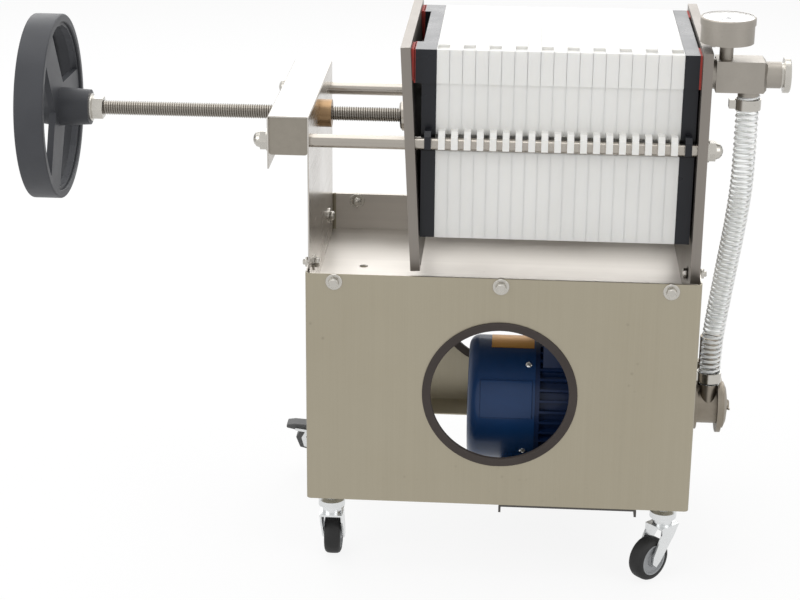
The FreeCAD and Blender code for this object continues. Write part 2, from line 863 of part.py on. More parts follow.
# ---------------------------------------------------------------- plate pack


def pack_outline(half, edge, low, high, notch):
    """Outline of a plate seen along the rods, with corner blocks and a notch for each rod."""
    block = high - size.corner_block
    above, below = size.plate_drop + notch, size.plate_drop - notch
    inner = ROD_Y - notch
    right = [
        (edge, low), (edge, below), (inner, below), (inner, above), (edge, above),
        (edge, block), (half, block), (half, high),
    ]
    left = [(-across, up) for across, up in reversed(right)]
    return right + left


def ear_outline(side):
    """A hook that hangs the plate over a rod, open below so that the plate lifts out."""
    top = size.plate_drop + size.ear_rise
    foot = size.plate_drop - size.ear_drop
    slot = size.rod_radius + size.rod_fit
    outer = ROD_Y + slot + size.ear_wall
    root = ROD_Y - slot - size.ear_wall * 2
    crown = size.plate_drop + slot
    corners = [
        (root, foot), (ROD_Y - slot, foot), (ROD_Y - slot, size.plate_drop + slot * 0.4),
        (ROD_Y - slot * 0.5, crown), (ROD_Y + slot * 0.5, crown), (ROD_Y + slot, size.plate_drop + slot * 0.4),
        (ROD_Y + slot, foot), (outer, foot), (outer, top - size.ear_wall), (outer - size.ear_wall, top), (root, top),
    ]
    return [(side * across, up) for across, up in corners]


def make_filter_plate(number):
    """A moulded plate: corner blocks with ports, hooks for the rods and a grooved chamber each side."""
    plate = new_body(f"filter_plate_{number:02d}")
    thick = size.plate_thickness
    half = size.plate_half_width
    edge = half - size.plate_edge_recess
    high = size.plate_height / 2
    notch = size.rod_radius + size.notch_margin
    add(plate, "YZ", 0, thick, pack_outline(half, edge, -high, high, notch))
    ear_low, ear_high = (thick - size.ear_thickness) / 2, (thick + size.ear_thickness) / 2
    for side in (-1, 1):
        add(plate, "YZ", ear_low, ear_high, ear_outline(side))
    margin = size.chamber_margin
    chamber = rectangle(-edge + margin, -high + margin, edge - margin, high - margin * 1.5)
    deep = size.chamber_depth
    cut(plate, "YZ", -deep, deep, chamber)
    cut(plate, "YZ", thick - deep, thick + deep, chamber)
    ports = [ring(end * size.port_back, port_level(), size.port_radius) for end in (-1, 1)]
    cut(plate, "YZ", -deep, thick + deep, *ports)
    if number % 2:
        near = -half + size.grip_inset
        low = (thick - size.grip_width) / 2
        cut(plate, "XY", high - size.grip_depth, high + size.grip_depth,
            rectangle(low, near, low + size.grip_width, near + size.grip_length))
    seat(plate, PACK_RIGHT - PLATE_PITCH * number + size.plate_gap, ON_AXIS, PLATE_Z)
    return plate


def port_level():
    """Height of the ports above the middle of a plate."""
    return size.port_rise - size.rod_rise + size.plate_drop


def make_closing_plate(label, outward, left):
    """A thicker black plate that closes the pack, with a corner block that reaches to its seal."""
    plate = new_body(label)
    thick = size.closing_plate_thickness
    half = size.plate_half_width
    edge = half - size.plate_edge_recess
    high = size.plate_height / 2
    notch = size.rod_radius + size.notch_margin
    add(plate, "YZ", 0, thick, pack_outline(half, edge, -high, high, notch))
    ear_low, ear_high = (thick - size.ear_thickness) / 2, (thick + size.ear_thickness) / 2
    for side in (-1, 1):
        add(plate, "YZ", ear_low, ear_high, ear_outline(side))
    block = size.corner_block
    ports = [ring(end * size.port_back, port_level(), size.port_radius) for end in (-1, 1)]
    if outward < 0:
        over = size.block_overhang
        for end in (-1, 1):
            add(plate, "YZ", -over, thick / 2,
                rectangle(*sorted_pair(end * half, end * (half - block), high - block, high)))
    else:
        cut(plate, "YZ", -thick, thick * 2, *ports)
    seat(plate, left, ON_AXIS, PLATE_Z)
    return plate


def make_seal(name, left, gauge, end, bored):
    """A red rubber pad on a corner block."""
    pad = new_body(name, node=False)
    half, high, block = size.plate_half_width, size.plate_height / 2, size.corner_block
    add(pad, "YZ", 0, gauge, rectangle(*sorted_pair(end * half, end * (half - block), high - block, high)))
    if bored:
        cut(pad, "YZ", -gauge, gauge * 2, ring(end * size.port_back, port_level(), size.port_radius))
    seat(pad, left, ON_AXIS, PLATE_Z)
    return pad


def make_seals():
    head_left = HEAD_LEFT - size.block_overhang - size.seal_gauge
    gather("head_seals", [make_seal(f"{row}_head_seal", head_left, size.seal_gauge, end, False)
                          for end, row in ((-1, "front"), (1, "rear"))])
    gather("tail_seals", [make_seal(f"{row}_tail_seal", TAIL_RIGHT, size.tail_seal_gauge, end, True)
                          for end, row in ((-1, "front"), (1, "rear"))])


# ---------------------------------------------------------------- inlet, gauge, outlet and hose


def make_inlet_manifold():
    """The inlet body on the fixed plate: collar, square block with a chamfered edge, neck and hose nipple."""
    block = new_body("inlet_manifold")
    collar, long, side = size.inlet_collar, size.inlet_length, size.inlet_size / 2
    add(block, "YZ", 0, collar + 1, ring(0, 0, size.inlet_collar_radius))
    add(block, "YZ", collar, collar + long, rectangle(-side, -side, side, side))
    dress(block, "Chamfer", size.inlet_chamfer, lambda edge: block_edge(edge, collar, long, side))
    add(block, "YZ", collar + long - 1, collar + long + size.inlet_neck_length, ring(0, 0, size.inlet_neck_radius))
    drop = side + size.nipple_length
    add(block, "XY", -drop, -side + 1, ring(collar / 2 + size.hose_offset, 0, size.nipple_radius))
    seat(block, FLANGE_FACE, -size.port_back, PORT_Z)
    return block


def block_edge(edge, collar, long, side):
    """The outer edges of the square block at the end that faces the cap."""
    along = [vertex.X for vertex in edge.Vertexes]
    reach = max(max(abs(vertex.Y), abs(vertex.Z)) for vertex in edge.Vertexes)
    flat = max(along) - min(along) < 0.01
    at_end = abs(along[0] - float(collar + long)) < 0.01
    return edge.Curve.TypeId == "Part::GeomLine" and flat and at_end and reach > float(side) - 0.01


def make_inlet_cap():
    """The blank end cap with its seal ring."""
    cap = new_body("inlet_cap")
    seal, long = size.cap_seal_length, size.cap_length
    profile = [
        (0, 0), (0, size.inlet_neck_radius - 1), (seal, size.inlet_neck_radius - 1), (seal, size.cap_radius),
        (seal + long - 1, size.cap_radius), (seal + long, size.cap_radius - 1), (seal + long, 0),
    ]
    spin(cap, "XY", "H", profile)
    seat(cap, FLANGE_FACE + size.inlet_collar + size.inlet_length + size.inlet_neck_length, -size.port_back, PORT_Z)
    return cap


def make_pressure_gauge():
    """A round gauge that faces up, with a bezel, a sunk dial and a hexagon stem."""
    gauge = new_body("pressure_gauge")
    stem, high, radius = size.gauge_stem_length, size.gauge_height, size.gauge_radius
    case, inner, top = radius - size.gauge_step, radius - size.gauge_bezel, stem + high
    band, floor = top - size.gauge_band, top - size.gauge_depth
    profile = [
        (0, 0), (size.gauge_stem_radius, 0), (size.gauge_stem_radius, stem), (case, stem),
        (case, band), (radius, band), (radius, top - size.gauge_step), (case, top),
        (inner, top), (inner, floor), (0, floor),
    ]
    spin(gauge, "XZ", "V", profile)
    seat(gauge, FLANGE_FACE + size.gauge_offset, -size.port_back, PORT_Z + size.inlet_size / 2)
    return gauge


def make_outlet_fitting():
    """The outlet on the rear port: a stepped collar and a hose tail, bored through."""
    fitting = new_body("outlet_fitting")
    collar, tail = size.outlet_collar_length, size.barb_radius
    add(fitting, "YZ", 0, collar, ring(0, 0, size.outlet_collar_radius))
    add(fitting, "YZ", 0, collar + size.barb_length, ring(0, 0, tail))
    cut(fitting, "YZ", -1, collar + size.barb_length + 1, ring(0, 0, tail - size.barb_wall))
    seat(fitting, FLANGE_FACE, size.port_back, PORT_Z)
    return fitting


# The route of the feed hose, from the inlet's nipple down to the pump: along, across and up
# from the cabinet's centre and the floor.
HOSE_ROUTE = [
    (244.0, -90.0, 532.0),
    (244.0, -90.0, 484.0),
    (244.6, -81.5, 434.0),
    (242.0, -66.0, 384.0),
    (238.0, -49.0, 334.0),
    (234.0, -34.5, 284.0),
    (230.0, -22.0, 234.0),
    (230.0, -22.0, 187.0),
]
ARC_SHARE = 0.45


def hose_path(route):
    """Straight runs joined by tangent arcs, each arc as large as its two runs allow."""
    points = [Vector(*place) for place in route]
    edges, radii = [], []
    start = points[0]
    for before, here, after in zip(points, points[1:], points[2:]):
        entry, leave = here - before, after - here
        short = min(entry.Length, leave.Length)
        half_turn = entry.getAngle(leave) / 2
        cut_back = ARC_SHARE * short
        radii.append(cut_back / math.tan(half_turn))
        first = here - entry.normalize() * cut_back
        last = here + leave.normalize() * cut_back
        bulge = (first + last) * 0.5 - here
        radius = radii[-1]
        centre_gap = radius / math.cos(half_turn)
        middle = here + bulge.normalize() * (centre_gap - radius)
        edges.append(Part.LineSegment(start, first).toShape())
        edges.append(Part.Arc(first, middle, last).toShape())
        start = last
    edges.append(Part.LineSegment(start, points[-1]).toShape())
    return Part.Wire(edges), radii


def make_feed_hose():
    """A clear hose that hangs from the inlet to the pump, as one plain tube."""
    path, radii = hose_path(HOSE_ROUTE)
    start = Vector(*HOSE_ROUTE[0])
    run = (Vector(*HOSE_ROUTE[1]) - start).normalize()
    section = Part.Wire([Part.Circle(start, run, float(size.hose_radius)).toShape()])
    tube = path.makePipeShell([section], True, True)
    hose = doc.addObject("Part::Feature", "feed_hose")
    hose.Label = "feed_hose"
    hose.Shape = tube
    hose.Placement = FreeCAD.Placement(Vector(float(ORIGIN_SHIFT), 0, 0), FreeCAD.Rotation())
    nodes.append(hose)
    expected = math.pi * float(size.hose_radius) ** 2 * path.Length
    print("hose radii", [round(radius) for radius in radii])
    print("hose volume share", round(tube.Volume / expected, 4), "length", round(path.Length))
    return hose


# ---------------------------------------------------------------- motor and pump


def make_motor_housing():
    """A finned motor body on a foot, with a plain end shield towards the pump."""
    motor = new_body("motor_housing")
    long, core = size.motor_length, size.motor_radius
    add(motor, "YZ", 0, long, ring(0, 0, core))
    add(motor, "YZ", 0, size.shield_gauge, ring(0, 0, size.fin_reach))
    fin_half = size.fin_gauge / 2
    fin_end = long - size.fin_setback
    fin = add(motor, "YZ", 1, fin_end, rectangle(-fin_half, core - size.fin_root, fin_half, size.fin_reach))
    repeat_round(motor, fin, "X", size.fins)
    box, half = size.terminal_box_start, size.terminal_box_half
    add(
        motor, "YZ", box, box + size.terminal_box_length,
        rectangle(-half, size.terminal_box_low, half, size.terminal_box_high),
    )
    foot = size.motor_foot_width / 2
    thick = size.motor_foot_gauge
    foot_end = long - size.motor_foot_back
    web = foot * size.motor_web_share
    sole = -size.motor_rise
    add(motor, "YZ", size.motor_foot_front, foot_end, rectangle(-foot, sole, foot, sole + thick))
    add(motor, "YZ", size.motor_foot_front, foot_end, rectangle(-web, sole + thick / 2, web, -core * 0.8))
    seat(motor, size.motor_start, MOTOR_Y, MOTOR_Z)
    return motor


def make_fan_cover():
    """A deep drawn cover over the fan, open to the motor, with air slots in its end."""
    cover = new_body("fan_cover")
    long, radius, wall = size.fan_cover_length, size.fan_cover_radius, size.fan_cover_wall
    add(cover, "YZ", 0, long, ring(0, 0, radius))
    cut(cover, "YZ", wall, long + wall, ring(0, 0, radius - wall))
    closed_end = float(wall) + 1
    dress(
        cover, "Fillet", size.fan_cover_corner - wall,
        lambda edge: on_rim(edge, radius - wall) and edge.Vertexes[0].X < closed_end,
    )
    dress(
        cover, "Fillet", size.fan_cover_corner,
        lambda edge: on_rim(edge, radius) and edge.Vertexes[0].X < closed_end,
    )
    slot = size.fan_slot_width / 2
    inner = radius - size.fan_cover_corner - size.fan_slot_length - 2
    gap = cut(cover, "YZ", -wall, wall * 2, rectangle(-slot, inner, slot, inner + size.fan_slot_length))
    repeat_round(cover, gap, "X", size.fan_slots)
    seat(cover, size.motor_start - long, MOTOR_Y, MOTOR_Z)
    return cover


def make_pump_bracket():
    """The end shield and the neck that join the pump to the motor."""
    bracket = new_body("pump_bracket")
    long, wide, nose = size.bracket_length, size.bracket_radius, size.bracket_nose_radius
    bell, shoulder = size.bracket_flange_gauge, size.bracket_shoulder
    rim_start, rim = long - size.bracket_rim_gauge, nose + size.bracket_rim
    profile = [
        (0, 0), (0, wide), (bell, wide), (shoulder, wide * 0.72), (size.bracket_bell_length, nose),
        (rim_start, nose), (rim_start, rim), (long, rim), (long, 0),
    ]
    spin(bracket, "XY", "H", profile)
    seat(bracket, size.motor_start + size.motor_length, MOTOR_Y, MOTOR_Z)
    return bracket


def make_pump_body():
    """The pump casing with its delivery port and the suction hose tail, both upwards."""
    pump = new_body("pump_body")
    long, radius = size.pump_length, size.pump_radius
    add(pump, "YZ", 0, long, ring(0, 0, radius))
    flange = long - size.pump_flange_overlap
    add(pump, "YZ", flange, flange + size.pump_flange_gauge, ring(0, 0, size.pump_flange_radius))
    across = size.pump_port_spread
    middle = long / 2
    add(pump, "XY", 0, size.pump_port_rise, ring(middle, -across / 2, size.pump_port_radius))
    collar_top = size.suction_rise - size.barb_length
    add(pump, "XY", 0, collar_top, ring(middle, across, size.suction_collar_radius))
    add(pump, "XY", 0, size.suction_rise, ring(middle, across, size.barb_radius))
    bore = ring(middle, across, size.barb_radius - size.barb_wall)
    cut(pump, "XY", size.pump_port_rise, size.suction_rise + 1, bore)
    seat(pump, PUMP_LEFT, MOTOR_Y, MOTOR_Z)
    return pump


def make_pump_cover():
    """The domed cover of the pump, held by a wing nut."""
    cover = new_body("pump_cover")
    long, radius = size.pump_cover_length, size.pump_cover_radius
    stud, reach = size.pump_stud_radius, size.pump_stud_reach
    profile = [
        (0, 0), (0, radius), (long * 0.4, radius), (long * 0.8, radius * 0.75), (long, radius * 0.4),
        (long, stud), (long + reach, stud), (long + reach, 0),
    ]
    spin(cover, "XY", "H", profile)
    flange_face = PUMP_LEFT + size.pump_length + size.pump_flange_gauge - size.pump_flange_overlap
    seat(cover, flange_face, MOTOR_Y, MOTOR_Z)
    return cover


# ---------------------------------------------------------------- casters


def make_caster_fork(label, braked):
    """Swivel race, fork and axle of a caster; the wheel trails towards -X before it is placed."""
    fork = new_body(label)
    gauge = size.caster_fork_gauge
    top = size.caster_fork_rise
    race = size.caster_race_radius
    neck = race - size.caster_race_lip
    race_top = size.floor_clearance - size.caster_nut_height - gauge
    nut, stem = size.caster_nut_radius, size.caster_stem_radius - size.caster_stem_play
    seat_level = size.floor_clearance - size.plate_gap
    stem_end = size.floor_clearance + size.sheet_gauge * 3
    profile = [
        (0, top - gauge), (neck, top - gauge), (neck, top + 6), (race, top + 8),
        (race, race_top - 3), (neck, race_top), (nut, race_top),
        (nut, seat_level), (stem, seat_level), (stem, stem_end), (0, stem_end),
    ]
    spin(fork, "XZ", "V", profile)
    half = size.caster_wheel_width / 2 + size.caster_fork_play
    side = size.caster_fork_size / 2
    axle = size.caster_wheel_radius
    trail = size.caster_trail
    add(fork, "XY", top - gauge, top, rectangle(-side, -half - gauge, side, half + gauge))
    cheek = [
        (-side, top), (side, top), (side * 0.5, top - 12), (-trail + 6, axle - 2), (-trail, axle - 7),
        (-trail - 6, axle - 2), (-trail - 5, axle + 6), (-side, top - 8),
    ]
    for low, high in ((-half - gauge, -half), (half, half + gauge)):
        add(fork, "XZ", low, high, cheek)
    pin = size.caster_bore_radius - size.caster_axle_fit
    add(fork, "XZ", -half - gauge, half + gauge, ring(-trail, axle, pin))
    if braked:
        reach, wide = size.brake_reach, size.brake_width / 2
        pedal = [
            (-side + 3, top - gauge), (-side + 3, top), (-reach, top - 4), (-reach - 14, top - 2),
            (-reach - 14, top - 5), (-reach, top - 7),
        ]
        add(fork, "XZ", -wide, wide, pedal)
        loop = [
            (-reach + 4, top - 6), (-reach - 2, top - 7), (-reach - 7, top - 16), (-reach - 4, top - 27),
            (-reach + 8, top - 31), (-reach + 8, top - 26), (-reach, top - 22), (-reach - 2, top - 15),
        ]
        add(fork, "XZ", -wide * 0.7, wide * 0.7, loop)
    return fork


def make_caster_wheel(label):
    """A caster wheel about its own Y axis, with a dished hub and rounded tyre."""
    wheel = new_body(label)
    half, radius = size.caster_wheel_width / 2, size.caster_wheel_radius
    bore, hub, dish = size.caster_bore_radius, size.caster_hub_radius, size.caster_hub_depth
    boss = bore + 3
    profile = [
        (bore, -half), (boss, -half), (boss, -half + dish), (hub, -half + dish), (hub, -half),
        (radius - size.caster_tyre_round, -half), (radius, -half + size.caster_tyre_round),
        (radius, half - size.caster_tyre_round), (radius - size.caster_tyre_round, half),
        (hub, half), (hub, half - dish), (boss, half - dish), (boss, half), (bore, half),
    ]
    spin(wheel, "XY", "V", profile)
    return wheel


CASTERS = (
    # name, side, end, heading of the trailing wheel in degrees from +X, braked
    ("front_left", -1, -1, 90, False),
    ("front_right", 1, -1, 225, False),
    ("rear_left", -1, 1, 180, True),
    ("rear_right", 1, 1, 160, True),
)


def make_casters():
    for name, side, end, heading, braked in CASTERS:
        along = side * (HALF_WIDTH - size.caster_end_inset)
        across = end * (HALF_DEPTH - size.caster_inset)
        spun = FreeCAD.Rotation(Vector(0, 0, 1), heading - HALF_TURN)
        fork = make_caster_fork(f"caster_fork_{name}", braked)
        fork.Placement = FreeCAD.Placement(Vector(), spun)
        seat(fork, along, across, ON_AXIS)
        wheel = make_caster_wheel(f"caster_wheel_{name}")
        wheel.Placement = FreeCAD.Placement(Vector(), spun)
        trail_x = size.caster_trail * math.cos(math.radians(heading))
        trail_y = size.caster_trail * math.sin(math.radians(heading))
        seat(wheel, along + trail_x, across + trail_y, size.caster_wheel_radius)


# ---------------------------------------------------------------- hose clamps


def make_clamp(name, along, across, up):
    """A worm drive band with its screw housing."""
    band = new_body(name, node=False)
    inner = size.hose_radius + size.clamp_fit
    outer = inner + size.clamp_gauge
    add(band, "XY", 0, size.clamp_width, ring(0, 0, outer), ring(0, 0, inner))
    box = rectangle(-outer - 6, -5, -inner - size.clamp_gauge / 2, 6)
    add(band, "XY", 1, size.clamp_width - 1, box)
    seat(band, along, across, up)
    return band


def make_hose_clamps():
    clamps = []
    for name, place, lift in (("upper_clamp", HOSE_ROUTE[0], -14), ("lower_clamp", HOSE_ROUTE[-1], 3)):
        along, across, up = (as_size(amount) for amount in place)
        clamps.append(make_clamp(name, along, across, up + lift))
    gather("hose_clamps", clamps)


make_panel("front_panel", -1)
make_panel("back_panel", 1)
make_deck_tray()
gather("window_trims", [make_window_trim("front_trim", -1), make_window_trim("back_trim", 1)])
make_motor_plate()
make_end_upright()
make_beam_tube()
make_fixed_plate()
make_tie_rods()
make_cap_nuts()
make_drive_nut()
make_feed_screw()
make_screw_lock_nut()
make_handwheel()
make_pressure_plate()
make_thrust_boss()
make_closing_plate("head_end_plate", -1, HEAD_LEFT)
make_closing_plate("tail_end_plate", 1, TAIL_LEFT)
make_seals()
for number in range(1, SIZES["plates"] + 1):
    make_filter_plate(number)
make_inlet_manifold()
make_inlet_cap()
make_pressure_gauge()
make_outlet_fitting()
make_feed_hose()
make_hose_clamps()
make_motor_housing()
make_fan_cover()
make_pump_bracket()
make_pump_body()
make_pump_cover()
make_casters()
doc.recompute()

# ---------------------------------------------------------------- checks and export

faults = [item.Label for item in doc.Objects if {"Invalid", "Error"} & set(item.State)]
faults += [node.Label for node in nodes if node.Shape.isNull() or not node.Shape.isValid()]
if faults:
    raise RuntimeError(f"failed to build: {faults}")
os.makedirs("parts", exist_ok=True)
for node in nodes:
    node.Shape.exportStep(f"parts/{node.Label}.step")
print(len(nodes), "nodes written")
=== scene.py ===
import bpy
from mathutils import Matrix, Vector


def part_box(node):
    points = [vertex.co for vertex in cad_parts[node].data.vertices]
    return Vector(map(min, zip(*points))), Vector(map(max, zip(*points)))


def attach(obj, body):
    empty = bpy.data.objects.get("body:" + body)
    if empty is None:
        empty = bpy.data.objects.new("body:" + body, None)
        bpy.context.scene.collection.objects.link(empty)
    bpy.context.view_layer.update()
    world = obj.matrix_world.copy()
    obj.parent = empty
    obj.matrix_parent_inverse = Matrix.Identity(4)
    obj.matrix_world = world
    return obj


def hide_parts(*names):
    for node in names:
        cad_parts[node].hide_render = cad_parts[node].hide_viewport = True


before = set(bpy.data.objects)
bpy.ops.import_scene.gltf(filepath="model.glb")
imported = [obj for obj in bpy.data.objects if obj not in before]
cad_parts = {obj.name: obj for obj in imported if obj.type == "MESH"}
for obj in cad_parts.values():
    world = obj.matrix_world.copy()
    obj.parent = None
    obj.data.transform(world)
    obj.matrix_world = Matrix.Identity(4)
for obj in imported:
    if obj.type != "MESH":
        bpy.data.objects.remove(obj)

"""A plate filter press on a caster cabinet: its finishes, fittings, hose and studio."""

import logging
import math
from dataclasses import dataclass, field
from enum import Enum
from typing import Iterable, Sequence

import bmesh
import bpy
from mathutils import Matrix, Vector

log = logging.getLogger("filter_press")
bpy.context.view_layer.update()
MM = 0.001
NODES: dict[str, bpy.types.Object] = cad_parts

Point = Sequence[float]


class Axis(Enum):
    """A direction in the row frame."""

    X = (1.0, 0.0, 0.0)
    Y = (0.0, 1.0, 0.0)
    Z = (0.0, 0.0, 1.0)

    def vector(self) -> Vector:
        """The direction as a vector."""
        return Vector(self.value)


class Body(Enum):
    """The moving bodies of the press."""

    CABINET = "cabinet"
    HEAD = "press_head"
    SCREW = "screw"


# ---------------------------------------------------------------- node groups


class Tree:
    """A thin layer over a node tree, so that a finish reads as a list of its parts."""

    def __init__(self, tree: bpy.types.NodeTree) -> None:
        """Keeps the tree.

        Args:
            tree: the tree that nodes are added to.
        """
        self.tree = tree

    def add(self, kind: str, **values: object) -> bpy.types.Node:
        """Adds a node and sets its properties, and its inputs by name.

        Args:
            kind: the node's type, without its ShaderNode prefix.
            values: properties, or inputs with underscores for spaces.

        Returns:
            The new node.
        """
        node = self.tree.nodes.new("ShaderNode" + kind if not kind.startswith("Node") else kind)
        for key, value in values.items():
            if hasattr(node, key):
                setattr(node, key, value)
            else:
                self.feed(node.inputs[key.replace("_", " ")], value)
        return node

    def feed(self, socket: bpy.types.NodeSocket, value: object) -> None:
        """Links a socket to another, or sets its value.

        Args:
            socket: the input.
            value: an output socket, or a plain value.
        """
        if isinstance(value, bpy.types.NodeSocket):
            self.tree.links.new(value, socket)
        else:
            socket.default_value = value

    def maths(self, operation: str, left: object, right: object = 0.0) -> bpy.types.NodeSocket:
        """A Math node.

        Args:
            operation: the node's operation.
            left: first value or socket.
            right: second value or socket.

        Returns:
            Its result.
        """
        node = self.add("Math", operation=operation)
        self.feed(node.inputs[0], left)
        self.feed(node.inputs[1], right)
        return node.outputs[0]

    def mix(self, share: object, low: object, high: object) -> bpy.types.NodeSocket:
        """Mixes two colours.

        Args:
            share: how much of the second.
            low: first colour.
            high: second colour.

        Returns:
            The mixed colour.
        """
        node = self.add("Mix", data_type="RGBA")
        self.feed(node.inputs[0], share)
        self.feed(node.inputs[6], low)
        self.feed(node.inputs[7], high)
        return node.outputs[2]

    def ramp(
        self, value: object, low: float, high: float, to_low: float = 0.0, to_high: float = 1.0,
    ) -> bpy.types.NodeSocket:
        """Maps a value from one range to another, held at its ends.

        Args:
            value: what is mapped.
            low: start of the range.
            high: end of the range.
            to_low: result at the start.
            to_high: result at the end.

        Returns:
            The mapped value.
        """
        node = self.add("MapRange", From_Min=low, From_Max=high, To_Min=to_low, To_Max=to_high)
        self.feed(node.inputs["Value"], value)
        return node.outputs[0]


class EffectGroups:
    """The surface effects that several finishes share, each made once."""

    def __init__(self) -> None:
        """Builds every group."""
        self.grain = self.make_grain()
        self.smudge = self.make_smudge()
        self.edge = self.make_edge()
        self.skin = self.make_skin()

    def begin(
        self, name: str, inputs: dict[str, tuple[str, object]], outputs: dict[str, str],
    ) -> tuple[Tree, bpy.types.Node, bpy.types.Node]:
        """Starts a group with named sockets.

        Args:
            name: the group's name.
            inputs: socket type and default by name.
            outputs: socket type by name.

        Returns:
            The tree and its input and output nodes.
        """
        group = bpy.data.node_groups.new(name, "ShaderNodeTree")
        for key, (kind, default) in inputs.items():
            socket = group.interface.new_socket(key, in_out="INPUT", socket_type="NodeSocket" + kind)
            socket.default_value = default
        for key, kind in outputs.items():
            group.interface.new_socket(key, in_out="OUTPUT", socket_type="NodeSocket" + kind)
        tree = Tree(group)
        return tree, tree.add("NodeGroupInput"), tree.add("NodeGroupOutput")

    def make_grain(self) -> bpy.types.NodeTree:
        """Fine parallel scratches, drawn out along the axis whose stretch is small.

        Returns:
            The group.
        """
        tree, start, end = self.begin(
            "brushed_grain", {
                "Stretch": ("Vector", (8.0, 700.0, 700.0))
            }, {"Lines": "Float", "Streaks": "Float"}
        )
        place = tree.add("TexCoord").outputs["Object"]
        drawn = tree.add("VectorMath", operation="MULTIPLY")
        tree.feed(drawn.inputs[0], place)
        tree.feed(drawn.inputs[1], start.outputs["Stretch"])
        fine = tree.add("TexNoise", Scale=1.0, Detail=2.0, Vector=drawn.outputs[0])
        broad = tree.add("VectorMath", operation="SCALE")
        tree.feed(broad.inputs[0], drawn.outputs[0])
        tree.feed(broad.inputs["Scale"], 0.16)
        streak = tree.add("TexNoise", Scale=1.0, Detail=3.0, Vector=broad.outputs[0])
        tree.feed(end.inputs["Lines"], fine.outputs["Fac"])
        tree.feed(end.inputs["Streaks"], streak.outputs["Fac"])
        return tree.tree

    def make_smudge(self) -> bpy.types.NodeTree:
        """Handling marks: soft patches with a few small spots.

        Returns:
            The group.
        """
        tree, start, end = self.begin(
            "handling_marks", {
                "Size": ("Float", 9.0), "Spots": ("Float", 90.0),
            }, {"Patches": "Float", "Specks": "Float"}
        )
        place = tree.add("TexCoord").outputs["Object"]
        patch = tree.add("TexNoise", Detail=4.0, Roughness=0.6, Vector=place)
        tree.feed(patch.inputs["Scale"], start.outputs["Size"])
        speck = tree.add("TexVoronoi", Vector=place)
        tree.feed(speck.inputs["Scale"], start.outputs["Spots"])
        near = tree.ramp(speck.outputs["Distance"], 0.04, 0.16, 1.0, 0.0)
        rare = tree.ramp(patch.outputs["Fac"], 0.56, 0.62)
        tree.feed(end.inputs["Patches"], tree.ramp(patch.outputs["Fac"], 0.35, 0.68))
        tree.feed(end.inputs["Specks"], tree.maths("MULTIPLY", near, rare))
        return tree.tree

    def make_edge(self) -> bpy.types.NodeTree:
        """Where the surface turns a corner, from the difference between its own and a rounded normal; the finishes use
        it to paint a highlight along edges, and shade there when their edge factor is under one.

        Returns:
            The group.
        """
        tree, start, end = self.begin("painted_edge_light_and_shade", {"Radius": ("Float", 0.0008)}, {"Edge": "Float"})
        rounded = tree.add("Bevel", samples=4)
        tree.feed(rounded.inputs["Radius"], start.outputs["Radius"])
        flat = tree.add("NewGeometry").outputs["True Normal"]
        dot = tree.add("VectorMath", operation="DOT_PRODUCT")
        tree.feed(dot.inputs[0], rounded.outputs["Normal"])
        tree.feed(dot.inputs[1], flat)
        tree.feed(end.inputs["Edge"], tree.ramp(dot.outputs["Value"], 0.99, 0.8))
        return tree.tree

    def make_skin(self) -> bpy.types.NodeTree:
        """The fine grain that a mould leaves on plastic, rubber and castings.

        Returns:
            The group.
        """
        tree, start, end = self.begin(
            "moulded_skin", {"Size": ("Float", 900.0)}, {"Height": "Float", "Flow": "Float"},
        )
        place = tree.add("TexCoord").outputs["Object"]
        fine = tree.add("TexNoise", Detail=2.0, Vector=place)
        tree.feed(fine.inputs["Scale"], start.outputs["Size"])
        flow = tree.add("TexNoise", Scale=14.0, Detail=3.0, Distortion=0.6, Vector=place)
        tree.feed(end.inputs["Height"], fine.outputs["Fac"])
        tree.feed(end.inputs["Flow"], flow.outputs["Fac"])
        return tree.tree


EFFECTS = EffectGroups()


# ---------------------------------------------------------------- finishes


@dataclass(frozen=True)
class Finish:
    """What every finish has: its name and its colour."""

    name: str
    colour: tuple[float, float, float]

    def start(self) -> tuple[bpy.types.Material, Tree, bpy.types.Node]:
        """Makes an empty material with a Principled shader.

        Returns:
            The material, its tree and the shader.
        """
        material = bpy.data.materials.new(self.name)
        material.use_nodes = True
        material.node_tree.nodes.clear()
        tree = Tree(material.node_tree)
        shader = tree.add("BsdfPrincipled")
        out = tree.add("OutputMaterial")
        tree.feed(out.inputs["Surface"], shader.outputs["BSDF"])
        return material, tree, shader

    def group(self, tree: Tree, effect: bpy.types.NodeTree, **values: object) -> bpy.types.Node:
        """Places a shared effect.

        Args:
            tree: the material's tree.
            effect: the group.
            values: its inputs.

        Returns:
            The group node.
        """
        node = tree.add("Group")
        node.node_tree = effect
        for key, value in values.items():
            tree.feed(node.inputs[key], value)
        return node

    def shade(self, factor: float) -> tuple[float, float, float, float]:
        """The colour made darker or paler.

        Args:
            factor: what each channel is multiplied by.

        Returns:
            A colour with alpha.
        """
        return tuple(min(1.0, channel * factor) for channel in self.colour) + (1.0,)

    def make(self) -> bpy.types.Material:
        """The material, made once.

        Returns:
            The material.
        """
        known = bpy.data.materials.get(self.name)
        return known if known else self.build()

    def build(self) -> bpy.types.Material:
        """Builds the material; each kind of finish has its own."""
        raise NotImplementedError


